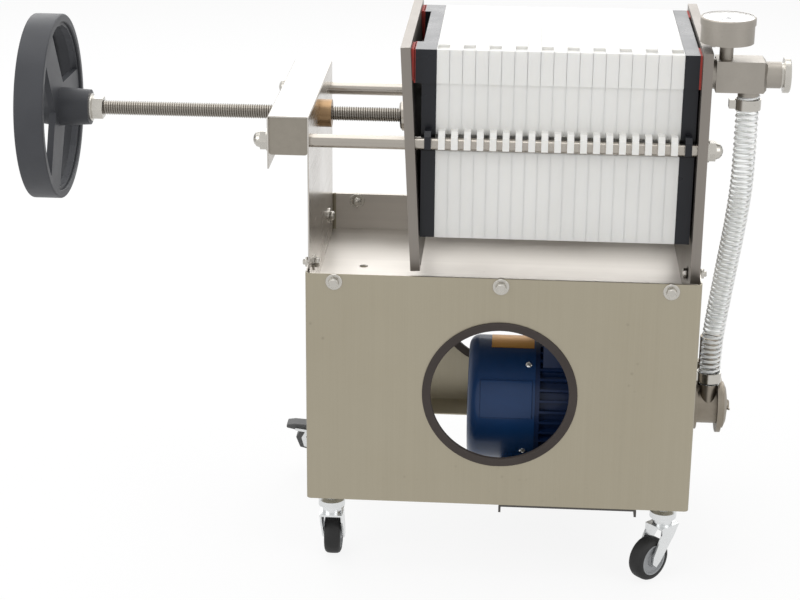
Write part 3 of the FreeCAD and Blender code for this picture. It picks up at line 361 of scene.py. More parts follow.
@dataclass(frozen=True)
class Metal(Finish):
    """Bare metal with brushed or turned grain, handling marks and painted light along its edges: a highlight when the
    edge factor is over one, shade when it is under one.
    """

    rough: float = 0.34
    stretch: tuple[float, float, float] = (9.0, 900.0, 900.0)
    grain: float = 0.12
    marks: float = 0.12
    # Colour factor along edges: over one paints a highlight there, under one paints shade.
    edge: float = 1.25
    streak: float = 0.035
    tint: tuple[float, float, float] = (1.0, 1.0, 1.0)

    def build(self) -> bpy.types.Material:
        """Builds the metal.

        Returns:
            The material.
        """
        material, tree, shader = self.start()
        grain = self.group(tree, EFFECTS.grain, Stretch=self.stretch)
        marks = self.group(tree, EFFECTS.smudge, Size=7.0, Spots=70.0)
        edge = self.group(tree, EFFECTS.edge, Radius=0.0007)
        streaked = tree.mix(
            tree.ramp(grain.outputs["Streaks"], 0.3, 0.7), self.shade(1.0 - self.streak),
            self.shade(1.0 + self.streak),
        )
        warm = tuple(c * t for c, t in zip(self.colour, self.tint)) + (1.0,)
        handled = tree.mix(tree.maths("MULTIPLY", marks.outputs["Patches"], self.marks), streaked, warm)
        spotted = tree.mix(
            tree.maths("MULTIPLY", marks.outputs["Specks"], self.marks * 2), handled, self.shade(0.55),
        )
        # Painted edge light: a lighter copy of the colour along corners as a highlight, a darker copy as shade when
        # the edge factor is under one.
        tree.feed(
            shader.inputs["Base Color"], tree.mix(edge.outputs["Edge"], spotted, self.shade(self.edge)),
        )
        worn = tree.maths("MULTIPLY_ADD", marks.outputs["Patches"], 0.1)
        worn.node.inputs[2].default_value = self.rough
        tree.feed(
            shader.inputs["Roughness"],
            tree.maths("ADD", worn, tree.ramp(grain.outputs["Lines"], 0.2, 0.8, -0.05, 0.05)),
        )
        shader.inputs["Metallic"].default_value = 1.0
        bump = tree.add("Bump", Strength=self.grain, Distance=0.0002, Height=grain.outputs["Lines"])
        tree.feed(shader.inputs["Normal"], bump.outputs[0])
        return material


@dataclass(frozen=True)
class Moulded(Finish):
    """Plastic or rubber with a moulded skin."""

    rough: float = 0.5
    skin: float = 900.0
    depth: float = 0.1
    glow: float = 0.0
    # Colour factor along edges: over one paints a highlight there.
    edge: float = 1.3
    flow: float = 0.06
    coat: float = 0.0
    shine: float = 0.3

    def build(self) -> bpy.types.Material:
        """Builds the plastic.

        Returns:
            The material.
        """
        material, tree, shader = self.start()
        skin = self.group(tree, EFFECTS.skin, Size=self.skin)
        marks = self.group(tree, EFFECTS.smudge, Size=11.0, Spots=120.0)
        edge = self.group(tree, EFFECTS.edge, Radius=0.0006)
        flowed = tree.mix(
            tree.ramp(skin.outputs["Flow"], 0.3, 0.7), self.shade(1.0 - self.flow),
            self.shade(1.0 + self.flow),
        )
        # Painted highlight along edges: a lighter copy of the colour where the surface turns a corner.
        tree.feed(
            shader.inputs["Base Color"],
            tree.mix(tree.maths("MULTIPLY", edge.outputs["Edge"], 0.6), flowed, self.shade(self.edge)),
        )
        rubbed = tree.maths("MULTIPLY_ADD", marks.outputs["Patches"], 0.12)
        rubbed.node.inputs[2].default_value = self.rough
        tree.feed(shader.inputs["Roughness"], rubbed)
        shader.inputs["Specular IOR Level"].default_value = self.shine
        if self.glow:
            shader.inputs["Subsurface Weight"].default_value = self.glow
            shader.inputs["Subsurface Radius"].default_value = (1.0, 0.95, 0.85)
            shader.inputs["Subsurface Scale"].default_value = 0.006
        if self.coat:
            shader.inputs["Coat Weight"].default_value = self.coat
            shader.inputs["Coat Roughness"].default_value = 0.08
        bump = tree.add("Bump", Strength=self.depth, Distance=0.0002, Height=skin.outputs["Height"])
        tree.feed(shader.inputs["Normal"], bump.outputs[0])
        return material


@dataclass(frozen=True)
class Clear(Finish):
    """See-through plastic or glass."""

    rough: float = 0.06
    ior: float = 1.4

    def build(self) -> bpy.types.Material:
        """Builds the clear finish.

        Returns:
            The material.
        """
        material, tree, shader = self.start()
        skin = self.group(tree, EFFECTS.skin, Size=260.0)
        tree.feed(
            shader.inputs["Base Color"],
            tree.mix(tree.ramp(skin.outputs["Flow"], 0.3, 0.7), self.shade(0.97), self.shade(1.0)),
        )
        tree.feed(
            shader.inputs["Roughness"],
            tree.ramp(skin.outputs["Flow"], 0.3, 0.7, self.rough, self.rough + 0.06),
        )
        shader.inputs["Transmission Weight"].default_value = 0.95
        shader.inputs["IOR"].default_value = self.ior
        bump = tree.add("Bump", Strength=0.05, Distance=0.0003, Height=skin.outputs["Height"])
        tree.feed(shader.inputs["Normal"], bump.outputs[0])
        return material


# The panels' steel is a darker copy of the deck's: painted shade for the darker reflection that the upright panels
# show. edge=0.8 also paints shade along their edges.
SHADED_PANEL_STEEL = Metal(
    "shaded_panel_steel", (0.375, 0.34, 0.262), rough=0.42, stretch=(900.0, 900.0, 9.0), grain=0.05, marks=0.2,
    streak=0.015, edge=0.8, tint=(0.96, 0.94, 0.9),
)
TRAY_STEEL = Metal(
    "tray_steel", (0.57, 0.54, 0.5), rough=0.38, stretch=(9.0, 900.0, 900.0), grain=0.08, marks=0.2,
)
PLATE_STEEL = Metal(
    "end_plate_steel", (0.25, 0.228, 0.205), rough=0.4, stretch=(900.0, 900.0, 9.0), grain=0.1,
)
# edge=0.42 paints shade along the upright's edges.
BEAM_STEEL = Metal(
    "beam_steel", (0.56, 0.53, 0.49), rough=0.2, stretch=(900.0, 9.0, 900.0), grain=0.04, edge=0.42,
)
DARK_STEEL = Metal(
    "motor_plate_steel", (0.09, 0.085, 0.08), rough=0.45, stretch=(900.0, 9.0, 900.0), grain=0.05,
)
TUBE_STEEL = Metal("tube_steel", (0.29, 0.265, 0.225), rough=0.4, stretch=(900.0, 9.0, 900.0), grain=0.06)
ROD_STEEL = Metal(
    "rod_steel", (0.4, 0.37, 0.33), rough=0.16, stretch=(40.0, 300.0, 300.0), grain=0.02, edge=1.0,
)
THREAD_STEEL = Metal("thread_steel", (0.3, 0.28, 0.25), rough=0.3, stretch=(500.0, 90.0, 90.0), grain=0.06)
BOLT_STEEL = Metal("bolt_steel", (0.5, 0.48, 0.44), rough=0.22, stretch=(260.0, 260.0, 260.0), grain=0.05)
CAST_STEEL = Metal(
    "cast_fitting_steel", (0.34, 0.315, 0.28), rough=0.4, stretch=(300.0, 300.0, 300.0), grain=0.22,
)
BRASS = Metal(
    "turned_bronze", (0.31, 0.205, 0.115), rough=0.32, stretch=(900.0, 60.0, 60.0), grain=0.12, marks=0.3,
    tint=(0.8, 0.7, 0.55),
)
PUMP_BRASS = Metal(
    "pump_casting", (0.28, 0.248, 0.205), rough=0.42, stretch=(260.0, 260.0, 260.0), grain=0.3, marks=0.4,
    tint=(0.8, 0.75, 0.6),
)
ZINC = Metal(
    "zinc_plate", (0.72, 0.73, 0.73), rough=0.24, stretch=(240.0, 240.0, 240.0), grain=0.05,
    tint=(0.95, 0.97, 1.0),
)
WHITE_PLASTIC = Moulded(
    "plate_plastic", (0.8, 0.795, 0.77), rough=0.42, skin=500.0, depth=0.05, glow=0.25, edge=1.1,
    flow=0.025,
)
BLACK_PLASTIC = Moulded(
    "black_plate_plastic", (0.011, 0.012, 0.016), rough=0.24, skin=700.0, depth=0.12, edge=2.2, flow=0.15,
)
WHEEL_PLASTIC = Moulded(
    "handwheel_plastic", (0.048, 0.05, 0.056), rough=0.42, skin=1100.0, depth=0.25, edge=1.8, flow=0.08,
)
SEAL_RUBBER = Moulded("seal_rubber", (0.36, 0.045, 0.035), rough=0.55, skin=800.0, depth=0.15)
TRIM_RUBBER = Moulded(
    "trim_rubber", (0.045, 0.036, 0.032), rough=0.6, skin=700.0, depth=0.2, edge=1.5, flow=0.12,
)
TYRE_RUBBER = Moulded(
    "tyre_rubber", (0.022, 0.022, 0.022), rough=0.55, skin=600.0, depth=0.2, edge=1.6, flow=0.15,
)
HUB_PLASTIC = Moulded("hub_plastic", (0.34, 0.35, 0.36), rough=0.38, skin=900.0, depth=0.1)
PEDAL_PLASTIC = Moulded("pedal_plastic", (0.1, 0.1, 0.1), rough=0.45, skin=900.0, depth=0.15)
MOTOR_PAINT = Moulded(
    "motor_paint", (0.006, 0.045, 0.155), rough=0.3, skin=160.0, depth=0.05, edge=1.3, flow=0.08, coat=0.16,
)
FIN_PAINT = Moulded(
    "fin_paint", (0.006, 0.022, 0.08), rough=0.36, skin=300.0, depth=0.2, edge=1.6, flow=0.12, coat=0.08,
)
LABEL_METAL = Metal(
    "bare_label", (0.46, 0.24, 0.06), rough=0.35, stretch=(9.0, 600.0, 600.0), grain=0.1, marks=0.3,
)
DIAL_WHITE = Moulded("dial_card", (0.82, 0.82, 0.8), rough=0.6, skin=300.0, depth=0.02)
DIAL_BLACK = Moulded("dial_ink", (0.02, 0.02, 0.02), rough=0.5, skin=300.0, depth=0.02)
# White filter sheets in the plate gaps: they paint the gaps light where there would be shade.
FIBRE_SHEET_GAP_LIGHT = Moulded(
    "filter_sheet_gap_light", (0.84, 0.835, 0.81), rough=0.85, skin=1500.0, depth=0.15, glow=0.3, edge=1.0, flow=0.03,
    shine=0.1,
)
GAUGE_GLASS = Clear("gauge_glass", (1.0, 1.0, 1.0), rough=0.02, ior=1.1)
HOSE_CLEAR = Clear("hose_clear", (0.97, 0.98, 0.97), rough=0.12, ior=1.08)
HOSE_RIB = Moulded("hose_rib", (0.88, 0.885, 0.87), rough=0.4, skin=700.0, depth=0.05, glow=0.3, edge=1.1)


# ---------------------------------------------------------------- hand modelling


class Bench:
    """Modelling steps that every sub-assembly uses."""

    @staticmethod
    def clear() -> None:
        """Deselects every object."""
        bpy.ops.object.select_all(action="DESELECT")

    @staticmethod
    def take(piece: bpy.types.Object) -> None:
        """Selects one object and makes it active.

        Args:
            piece: the object.
        """
        Bench.clear()
        piece.select_set(True)
        bpy.context.view_layer.objects.active = piece

    @staticmethod
    def edit(mode: str = "VERT") -> None:
        """Enters edit mode with everything selected.

        Args:
            mode: VERT, EDGE or FACE.
        """
        bpy.ops.object.mode_set(mode="EDIT")
        bpy.ops.mesh.select_mode(type=mode)
        bpy.ops.mesh.select_all(action="SELECT")

    @staticmethod
    def done() -> bpy.types.Object:
        """Leaves edit mode and applies the object's place.

        Returns:
            The active object.
        """
        if bpy.context.mode != "OBJECT":
            bpy.ops.object.mode_set(mode="OBJECT")
        bpy.ops.object.transform_apply(location=True, rotation=True, scale=True)
        return bpy.context.view_layer.objects.active

    @staticmethod
    def outline(points: Sequence[Point], closed: bool = False) -> None:
        """Draws a chain of edges by extruding one vertex, and stays in edit mode.

        Args:
            points: the chain's corners.
            closed: joins the last corner to the first and fills the loop.
        """
        Bench.clear()
        corners = [Vector(point) for point in points]
        bpy.ops.mesh.primitive_plane_add(size=MM, location=corners[0])
        Bench.edit()
        bpy.ops.mesh.merge(type="CENTER")
        for here, there in zip(corners, corners[1:]):
            bpy.ops.mesh.extrude_vertices_move(TRANSFORM_OT_translate={"value": there - here})
        bpy.ops.mesh.select_all(action="SELECT")
        if closed:
            bpy.ops.mesh.edge_face_add()

    @staticmethod
    def side(axis: Vector) -> Vector:
        """A direction square to an axis.

        Args:
            axis: the axis.

        Returns:
            A unit vector.
        """
        other = Vector((0.0, 0.0, 1.0)) if abs(axis.z) < 0.9 else Vector((1.0, 0.0, 0.0))
        return axis.cross(other).normalized()

    @staticmethod
    def lathe(
        profile: Sequence[tuple[float, float]], centre: Point, axis: Vector, steps: int = 48,
    ) -> bpy.types.Object:
        """Turns a profile about an axis.

        Args:
            profile: pairs of distance along the axis and radius, in millimetres.
            centre: the axis' start.
            axis: its direction.
            steps: how many faces round.

        Returns:
            The turned piece.
        """
        start, out = Vector(centre), Bench.side(axis)
        Bench.outline([start + axis * (along * MM) + out * (radius * MM) for along, radius in profile])
        bpy.ops.mesh.spin(steps=steps, angle=math.tau, center=start, axis=axis)
        return Bench.closed()

    @staticmethod
    def closed(angle: float = 35.0) -> bpy.types.Object:
        """Merges doubles, turns the faces outwards and leaves edit mode.

        Args:
            angle: corners sharper than this many degrees stay sharp.

        Returns:
            The object.
        """
        bpy.ops.mesh.select_all(action="SELECT")
        bpy.ops.mesh.remove_doubles(threshold=1e-6)
        bpy.ops.mesh.normals_make_consistent(inside=False)
        piece = Bench.done()
        bpy.ops.object.shade_smooth_by_angle(angle=math.radians(angle))
        return piece

    @staticmethod
    def prism(corners: Sequence[Point], depth: Vector, bevel: float = 0.0) -> bpy.types.Object:
        """Extrudes a filled outline.

        Args:
            corners: the outline.
            depth: how far, and which way.
            bevel: width of the rounded edges in millimetres.

        Returns:
            The piece.
        """
        Bench.outline(corners, closed=True)
        bpy.ops.mesh.extrude_region_move(TRANSFORM_OT_translate={"value": depth})
        piece = Bench.closed()
        return Bench.bevelled(piece, bevel) if bevel else piece

    @staticmethod
    def bevelled(piece: bpy.types.Object, width: float, segments: int = 2) -> bpy.types.Object:
        """Rounds a piece's edges.

        Args:
            piece: the piece.
            width: the bevel's width in millimetres.
            segments: how many faces across.

        Returns:
            The piece.
        """
        Bench.take(piece)
        modifier = piece.modifiers.new("rounded", "BEVEL")
        modifier.width = width * MM
        modifier.segments = segments
        modifier.limit_method = "ANGLE"
        modifier.angle_limit = math.radians(30)
        bpy.ops.object.modifier_apply(modifier="rounded")
        bpy.ops.object.shade_smooth_by_angle(angle=math.radians(40))
        return piece

    @staticmethod
    def hexagon(
        centre: Point, axis: Vector, across: float, height: float, turned: float = 0.0,
    ) -> bpy.types.Object:
        """A hexagon head or nut with crowned corners.

        Args:
            centre: middle of the face it stands on.
            axis: the way it points.
            across: width over its flats in millimetres.
            height: its height in millimetres.
            turned: turn about its axis in degrees.

        Returns:
            The head.
        """
        Bench.clear()
        middle = Vector(centre) + axis * (height * MM / 2)
        turn = axis.to_track_quat("Z", "Y").to_matrix() @ Matrix.Rotation(math.radians(turned), 3, "Z")
        bpy.ops.mesh.primitive_cylinder_add(
            vertices=6, radius=across / math.sqrt(3) * MM, depth=height * MM, location=middle, rotation=turn.to_euler()
        )
        return Bench.bevelled(Bench.done(), height * 0.14)

    @staticmethod
    def joined(pieces: Sequence[bpy.types.Object], name: str) -> bpy.types.Object:
        """Joins pieces into one.

        Args:
            pieces: the pieces.
            name: the new name.

        Returns:
            The joined piece.
        """
        Bench.take(pieces[0])
        for piece in pieces:
            piece.select_set(True)
        if len(pieces) > 1:
            bpy.ops.object.join()
        pieces[0].name = name
        pieces[0].data.name = name
        return pieces[0]

    @staticmethod
    def copied(master: bpy.types.Object, moves: Iterable[Matrix], name: str) -> bpy.types.Object:
        """Copies a piece to several places and joins the copies.

        Args:
            master: the piece, which is used up.
            moves: a matrix for each copy.
            name: the joined piece's name.

        Returns:
            The joined copies.
        """
        copies = []
        for move in moves:
            twin = master.copy()
            twin.data = master.data.copy()
            bpy.context.collection.objects.link(twin)
            twin.data.transform(move)
            copies.append(twin)
        bpy.data.objects.remove(master)
        return Bench.joined(copies, name)


@dataclass
class Assembly:
    """A sub-assembly: it dresses CAD nodes and adds pieces that ride on a body."""

    made: list[str] = field(default_factory=list, init=False)

    def fit(
        self, piece: bpy.types.Object, name: str, finish: Finish, slot: str, body: str = Body.CABINET.value,
    ) -> bpy.types.Object:
        """Names a piece and gives it its finish and body.

        Args:
            piece: the piece.
            name: its name.
            finish: its finish.
            slot: not used.
            body: the body it rides on.

        Returns:
            The piece.
        """
        piece.name = name
        piece.data.name = name
        piece.data.materials.clear()
        piece.data.materials.append(finish.make())
        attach(piece, body)
        self.made.append(name)
        return piece

    def dress(self, finish: Finish, *names: str) -> None:
        """Gives CAD nodes a finish.

        Args:
            finish: the finish.
            names: the nodes.
        """
        for name in names:
            node = NODES[name]
            node.data.materials.clear()
            node.data.materials.append(finish.make())
            self.made.append(name)

    def report(self) -> None:
        """Logs what the sub-assembly holds."""
        log.info("%s: %s", type(self).__name__, ", ".join(self.made))


# ---------------------------------------------------------------- cabinet


@dataclass
class Cabinet(Assembly):
    """The two bent panels, the deck tray, the window trims and their bolts."""

    bolt_across: float = 10.0
    bolt_head: float = 4.4
    washer_radius: float = 8.8
    washer_gauge: float = 1.4
    middle: float = 0.1155
    half_depth: float = 0.142
    bolt_level: float = 0.3355
    bolt_places: tuple[float, ...] = (-0.1752, -0.0015, 0.174)
    side_places: tuple[float, ...] = (-0.082, 0.081)

    def bolt(self, nut: bool) -> bpy.types.Object:
        """A hexagon head, or a nut with the end of its bolt, on a washer, pointing along +Z from the origin.

        Args:
            nut: a nut in place of a head.

        Returns:
            The fastener.
        """
        up, gauge = Axis.Z.vector(), self.washer_gauge
        inner = self.bolt_across * 0.3
        washer = Bench.lathe(
            [
                (0, inner), (0, self.washer_radius), (gauge * 0.7, self.washer_radius),
                (gauge, self.washer_radius - 0.4), (gauge, inner), (0, inner),
            ],
            (0, 0, 0), up, 32,
        )
        head = Bench.hexagon((0, 0, gauge * MM), up, self.bolt_across, self.bolt_head)
        if nut:
            tip = self.bolt_head + gauge
            end = Bench.lathe(
                [(tip - 1, 0), (tip - 1, 3), (tip + 2.2, 3), (tip + 2.8, 2.4), (tip + 2.8, 0)], (0, 0, 0),
                up, 20,
            )
            return Bench.joined([washer, head, end], "nut_set")
        crown = Bench.lathe(
            [
                (gauge + self.bolt_head - 0.2, 0), (gauge + self.bolt_head - 0.2, 4.4),
                (gauge + self.bolt_head + 0.35, 4.0), (gauge + self.bolt_head + 0.35, 0),
            ],
            (0, 0, 0), up, 24,
        )
        return Bench.joined([washer, head, crown], "bolt_set")

    def placed(self, along: float, across: float, axis: Vector, turned: float) -> Matrix:
        """Where a fastener sits.

        Args:
            along: X of its seat.
            across: Y of its seat.
            axis: the way it points.
            turned: its turn in degrees.

        Returns:
            The matrix.
        """
        spin = Matrix.Rotation(math.radians(turned), 4, "Z")
        return Matrix.Translation(
            (along, across, self.bolt_level)
        ) @ axis.to_track_quat("Z", "Y").to_matrix().to_4x4() @ spin

    def build(self) -> None:
        """Dresses the sheet metal and adds every bolt and nut."""
        self.dress(SHADED_PANEL_STEEL, "front_panel", "back_panel")
        self.dress(TRAY_STEEL, "deck_tray")
        self.dress(DARK_STEEL, "motor_plate")
        self.dress(TRIM_RUBBER, "window_trims")
        places = [self.middle + along for along in self.bolt_places]
        heads = [self.placed(x, side * self.half_depth, Vector((0, side, 0)), 11 + 17 * index)
                 for index, x in enumerate(places) for side in (-1, 1)]
        self.fit(
            Bench.copied(self.bolt(False), heads, "panel_bolts"), "panel_bolts", BOLT_STEEL, "bright_steel",
        )
        inside = self.half_depth - 0.003
        nuts = [self.placed(x, side * inside, Vector((0, -side, 0)), 7 + 13 * index)
                for index, x in enumerate(places) for side in (-1, 1)]
        self.fit(
            Bench.copied(self.bolt(True), nuts, "panel_nuts"), "panel_nuts", BOLT_STEEL, "bright_steel",
        )
        left, right = self.middle - 0.2055, self.middle + 0.2055
        inner = [self.placed(x, y, Vector((turn, 0, 0)), 20)
                 for x, turn in ((left + 0.0031, 1), (self.middle + 0.1954, -1)) for y in self.side_places]
        outer = [self.placed(x, y, Vector((turn, 0, 0)), 5)
                 for x, turn in ((left - 0.0001, -1), (right + 0.0001, 1)) for y in self.side_places]
        self.fit(
            Bench.copied(self.bolt(False), inner, "side_bolts"), "side_bolts", BOLT_STEEL, "bright_steel",
        )
        self.fit(Bench.copied(self.bolt(True), outer, "side_nuts"), "side_nuts", BOLT_STEEL, "bright_steel")
        self.report()


# ---------------------------------------------------------------- press frame


@dataclass
class PressFrame(Assembly):
    """The beam, the rods and the two steel end plates."""

    def build(self) -> None:
        """Dresses the frame's nodes."""
        self.dress(BEAM_STEEL, "end_upright")
        self.dress(TUBE_STEEL, "beam_tube")
        self.dress(PLATE_STEEL, "fixed_plate", "pressure_plate")
        self.dress(ROD_STEEL, "tie_rods", "thrust_boss")
        self.dress(BOLT_STEEL, "rod_cap_nuts", "screw_lock_nut")
        self.dress(BRASS, "drive_nut")
        self.report()


@dataclass
class Spindle(Assembly):
    """The threaded feed screw and its handwheel."""

    pitch: float = 2.5
    root: float = 6.9
    crest: float = 7.95
    steps: int = 14

    def thread(self, low: float, high: float, centre: Point) -> bpy.types.Object:
        """A thread's ridge wound round a core, along +X.

        Args:
            low: X where the ridge starts.
            high: X where it ends.
            centre: a point on the axis.

        Returns:
            The threaded bar.
        """
        turns = int((high - low) / (self.pitch * MM)) - 1
        rise = self.pitch / 2 * 0.96
        start = Vector((low, centre[1], centre[2]))
        up = Vector((0, 0, MM))
        corners = [start + up * (self.root - 0.5), start + up * self.crest + Vector((rise * MM, 0, 0)),
                   start + up * (self.root - 0.5) + Vector((rise * 2 * MM, 0, 0))]
        Bench.outline(corners, closed=True)
        bpy.ops.mesh.delete(type="ONLY_FACE")
        ridge = Bench.done()
        ridge.data.transform(Matrix.Translation(-start))
        modifier = ridge.modifiers.new("wound", "SCREW")
        modifier.axis = "X"
        modifier.angle = math.tau
        modifier.screw_offset = self.pitch * MM
        modifier.iterations = turns
        modifier.steps = modifier.render_steps = self.steps
        modifier.use_merge_vertices = True
        bpy.ops.object.modifier_apply(modifier="wound")
        ridge.location = start
        Bench.take(ridge)
        Bench.edit()
        bpy.ops.mesh.select_all(action="DESELECT")
        bpy.ops.mesh.select_non_manifold()
        bpy.ops.mesh.fill_holes(sides=4)
        ridge = Bench.closed(20)
        long = (high - low) / MM
        core = Bench.lathe(
            [
                (0, 0), (0, self.root - 0.6), (0.6, self.root), (long - 0.6, self.root),
                (long, self.root - 0.6), (long, 0),
            ],
            start, Axis.X.vector(), 28,
        )
        return Bench.joined([ridge, core], "threaded_bar")

    def build(self) -> None:
        """Winds the screw's thread and dresses the handwheel."""
        low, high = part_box("feed_screw")
        centre = (0.0, (low[1] + high[1]) / 2, (low[2] + high[2]) / 2)
        screw = self.thread(low[0], high[0], centre)
        self.fit(screw, "feed_screw_thread", THREAD_STEEL, "bright_steel", Body.SCREW.value)
        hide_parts("feed_screw")
        self.dress(WHEEL_PLASTIC, "handwheel")
        self.report()


# ---------------------------------------------------------------- plate pack


@dataclass
class PlatePack(Assembly):
    """The white plates with a white filter sheet in each gap, which paints the gaps light where they would be in
    shade, the black closing plates and their seals.
    """

    count: int = 19
    sheet_gauge: float = 0.26
    block_size: tuple[float, float] = (4.4, 33.0)
    sheet_half: float = 104.4
    sheet_inset: float = 0.1

    def sheet(self, name: str) -> bpy.types.Object:
        """The white filter sheet that lies on a plate's face towards the handwheel; it fills the gap so that it shows
        painted light in place of shade.

        Args:
            name: the plate's node.

        Returns:
            The sheet.
        """
        low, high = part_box(name)
        tall = high[2] - low[2] - 2 * self.sheet_inset * MM
        middle = (low[0] - self.sheet_gauge * 0.58 * MM, (low[1] + high[1]) / 2, (low[2] + high[2]) / 2)
        Bench.clear()
        bpy.ops.mesh.primitive_cube_add(
            size=1.0, location=middle, scale=(self.sheet_gauge * MM, 2 * self.sheet_half * MM, tall),
        )
        return Bench.done()

    def build(self) -> None:
        """Dresses the pack and lays a sheet on each plate."""
        for index in range(1, self.count + 1):
            # Each white sheet fills a plate gap: painted light in place of the gap's shade.
            sheet = self.sheet(f"filter_plate_{index:02d}")
            self.fit(sheet, f"filter_sheet_gap_light_{index:02d}", FIBRE_SHEET_GAP_LIGHT, "white_plastic", f"plate_{index:02d}")
        self.dress(WHITE_PLASTIC, *[f"filter_plate_{index:02d}" for index in range(1, self.count + 1)])
        self.dress(BLACK_PLASTIC, "head_end_plate", "tail_end_plate")
        self.dress(SEAL_RUBBER, "head_seals", "tail_seals")
        self.seal_blocks()
        self.report()

    def seal_blocks(self) -> None:
        """Adds the red corner gaskets that stand between the leaning plate and the black one."""
        low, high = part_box("head_seals")
        gauge, side = self.block_size[0] * MM, self.block_size[1] * MM
        blocks = []
        for end in (-1, 1):
            edge = low[1] if end < 0 else high[1]
            middle = (high[0] - gauge / 2, edge - end * side / 2, high[2] - side / 2)
            Bench.clear()
            bpy.ops.mesh.primitive_cube_add(size=1.0, location=middle, scale=(gauge, side, side))
            blocks.append(Bench.bevelled(Bench.done(), 0.6))
        self.fit(
            Bench.joined(blocks, "head_gaskets"), "head_gaskets", SEAL_RUBBER, "red_rubber",
            Body.HEAD.value,
        )


# ---------------------------------------------------------------- inlet and gauge


@dataclass
class Inlet(Assembly):
    """The inlet block with its cap, the gauge and the outlet."""

    dial_radius: float = 26.2
    ticks: int = 26
    sweep: float = 270.0

    def dial(self, centre: Vector) -> None:
        """Adds the card, its marks, the pointer and the glass.

        Args:
            centre: middle of the sunk face.
        """
        up = Axis.Z.vector()
        card = Bench.lathe(
            [(0.1, 0), (0.1, self.dial_radius), (0.6, self.dial_radius), (0.6, 0)], centre, up, 64,
        )
        self.fit(card, "gauge_card", DIAL_WHITE, "gauge_case")
        marks = []
        for index in range(self.ticks):
            long = 4.2 if index % 5 == 0 else 2.4
            turn = math.radians(225 - self.sweep * index / (self.ticks - 1))
            out = Vector((math.cos(turn), math.sin(turn), 0)) * MM
            wide = Vector((-math.sin(turn), math.cos(turn), 0)) * MM * (0.35 if index % 5 == 0 else 0.2)
            outer, inner = out * 22.0, out * (22.0 - long)
            base = centre + up * 0.6 * MM
            marks.append(
                Bench.prism(
                    [base + outer + wide, base + outer - wide, base + inner - wide, base + inner + wide],
                    up * 0.08 * MM,
                )
            )
        self.fit(Bench.joined(marks, "gauge_marks"), "gauge_marks", DIAL_BLACK, "gauge_case")
        aim = math.radians(225)
        along, wide = Vector((math.cos(aim), math.sin(aim), 0)) * MM, Vector(
            (-math.sin(aim), math.cos(aim), 0)
        ) * MM
        base = centre + up * 0.9 * MM
        hand = Bench.prism(
            [
                base - along * 6 + wide * 1.1, base - along * 6 - wide * 1.1,
                base + along * 17 - wide * 0.3, base + along * 17 + wide * 0.3,
            ],
            up * 0.3 * MM,
        )
        boss = Bench.lathe([(0.6, 0), (0.6, 2.6), (1.6, 2.4), (1.9, 1.6), (1.9, 0)], centre, up, 24)
        self.fit(Bench.joined([hand, boss], "gauge_pointer"), "gauge_pointer", DIAL_BLACK, "gauge_case")
        glass = Bench.lathe(
            [(2.2, 0), (2.2, self.dial_radius + 0.2), (2.8, self.dial_radius + 0.2), (2.8, 0)], centre, up,
            64,
        )
        self.fit(glass, "gauge_window", GAUGE_GLASS, "gauge_case")

    def build(self) -> None:
        """Dresses the fittings and makes the dial."""
        self.dress(CAST_STEEL, "inlet_manifold", "outlet_fitting")
        self.dress(BOLT_STEEL, "inlet_cap", "hose_clamps")
        self.dress(CAST_STEEL, "pressure_gauge")
        low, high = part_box("pressure_gauge")
        self.dial(Vector(((low[0] + high[0]) / 2, (low[1] + high[1]) / 2, high[2] - 3 * MM)))
        self.report()


# ---------------------------------------------------------------- feed hose


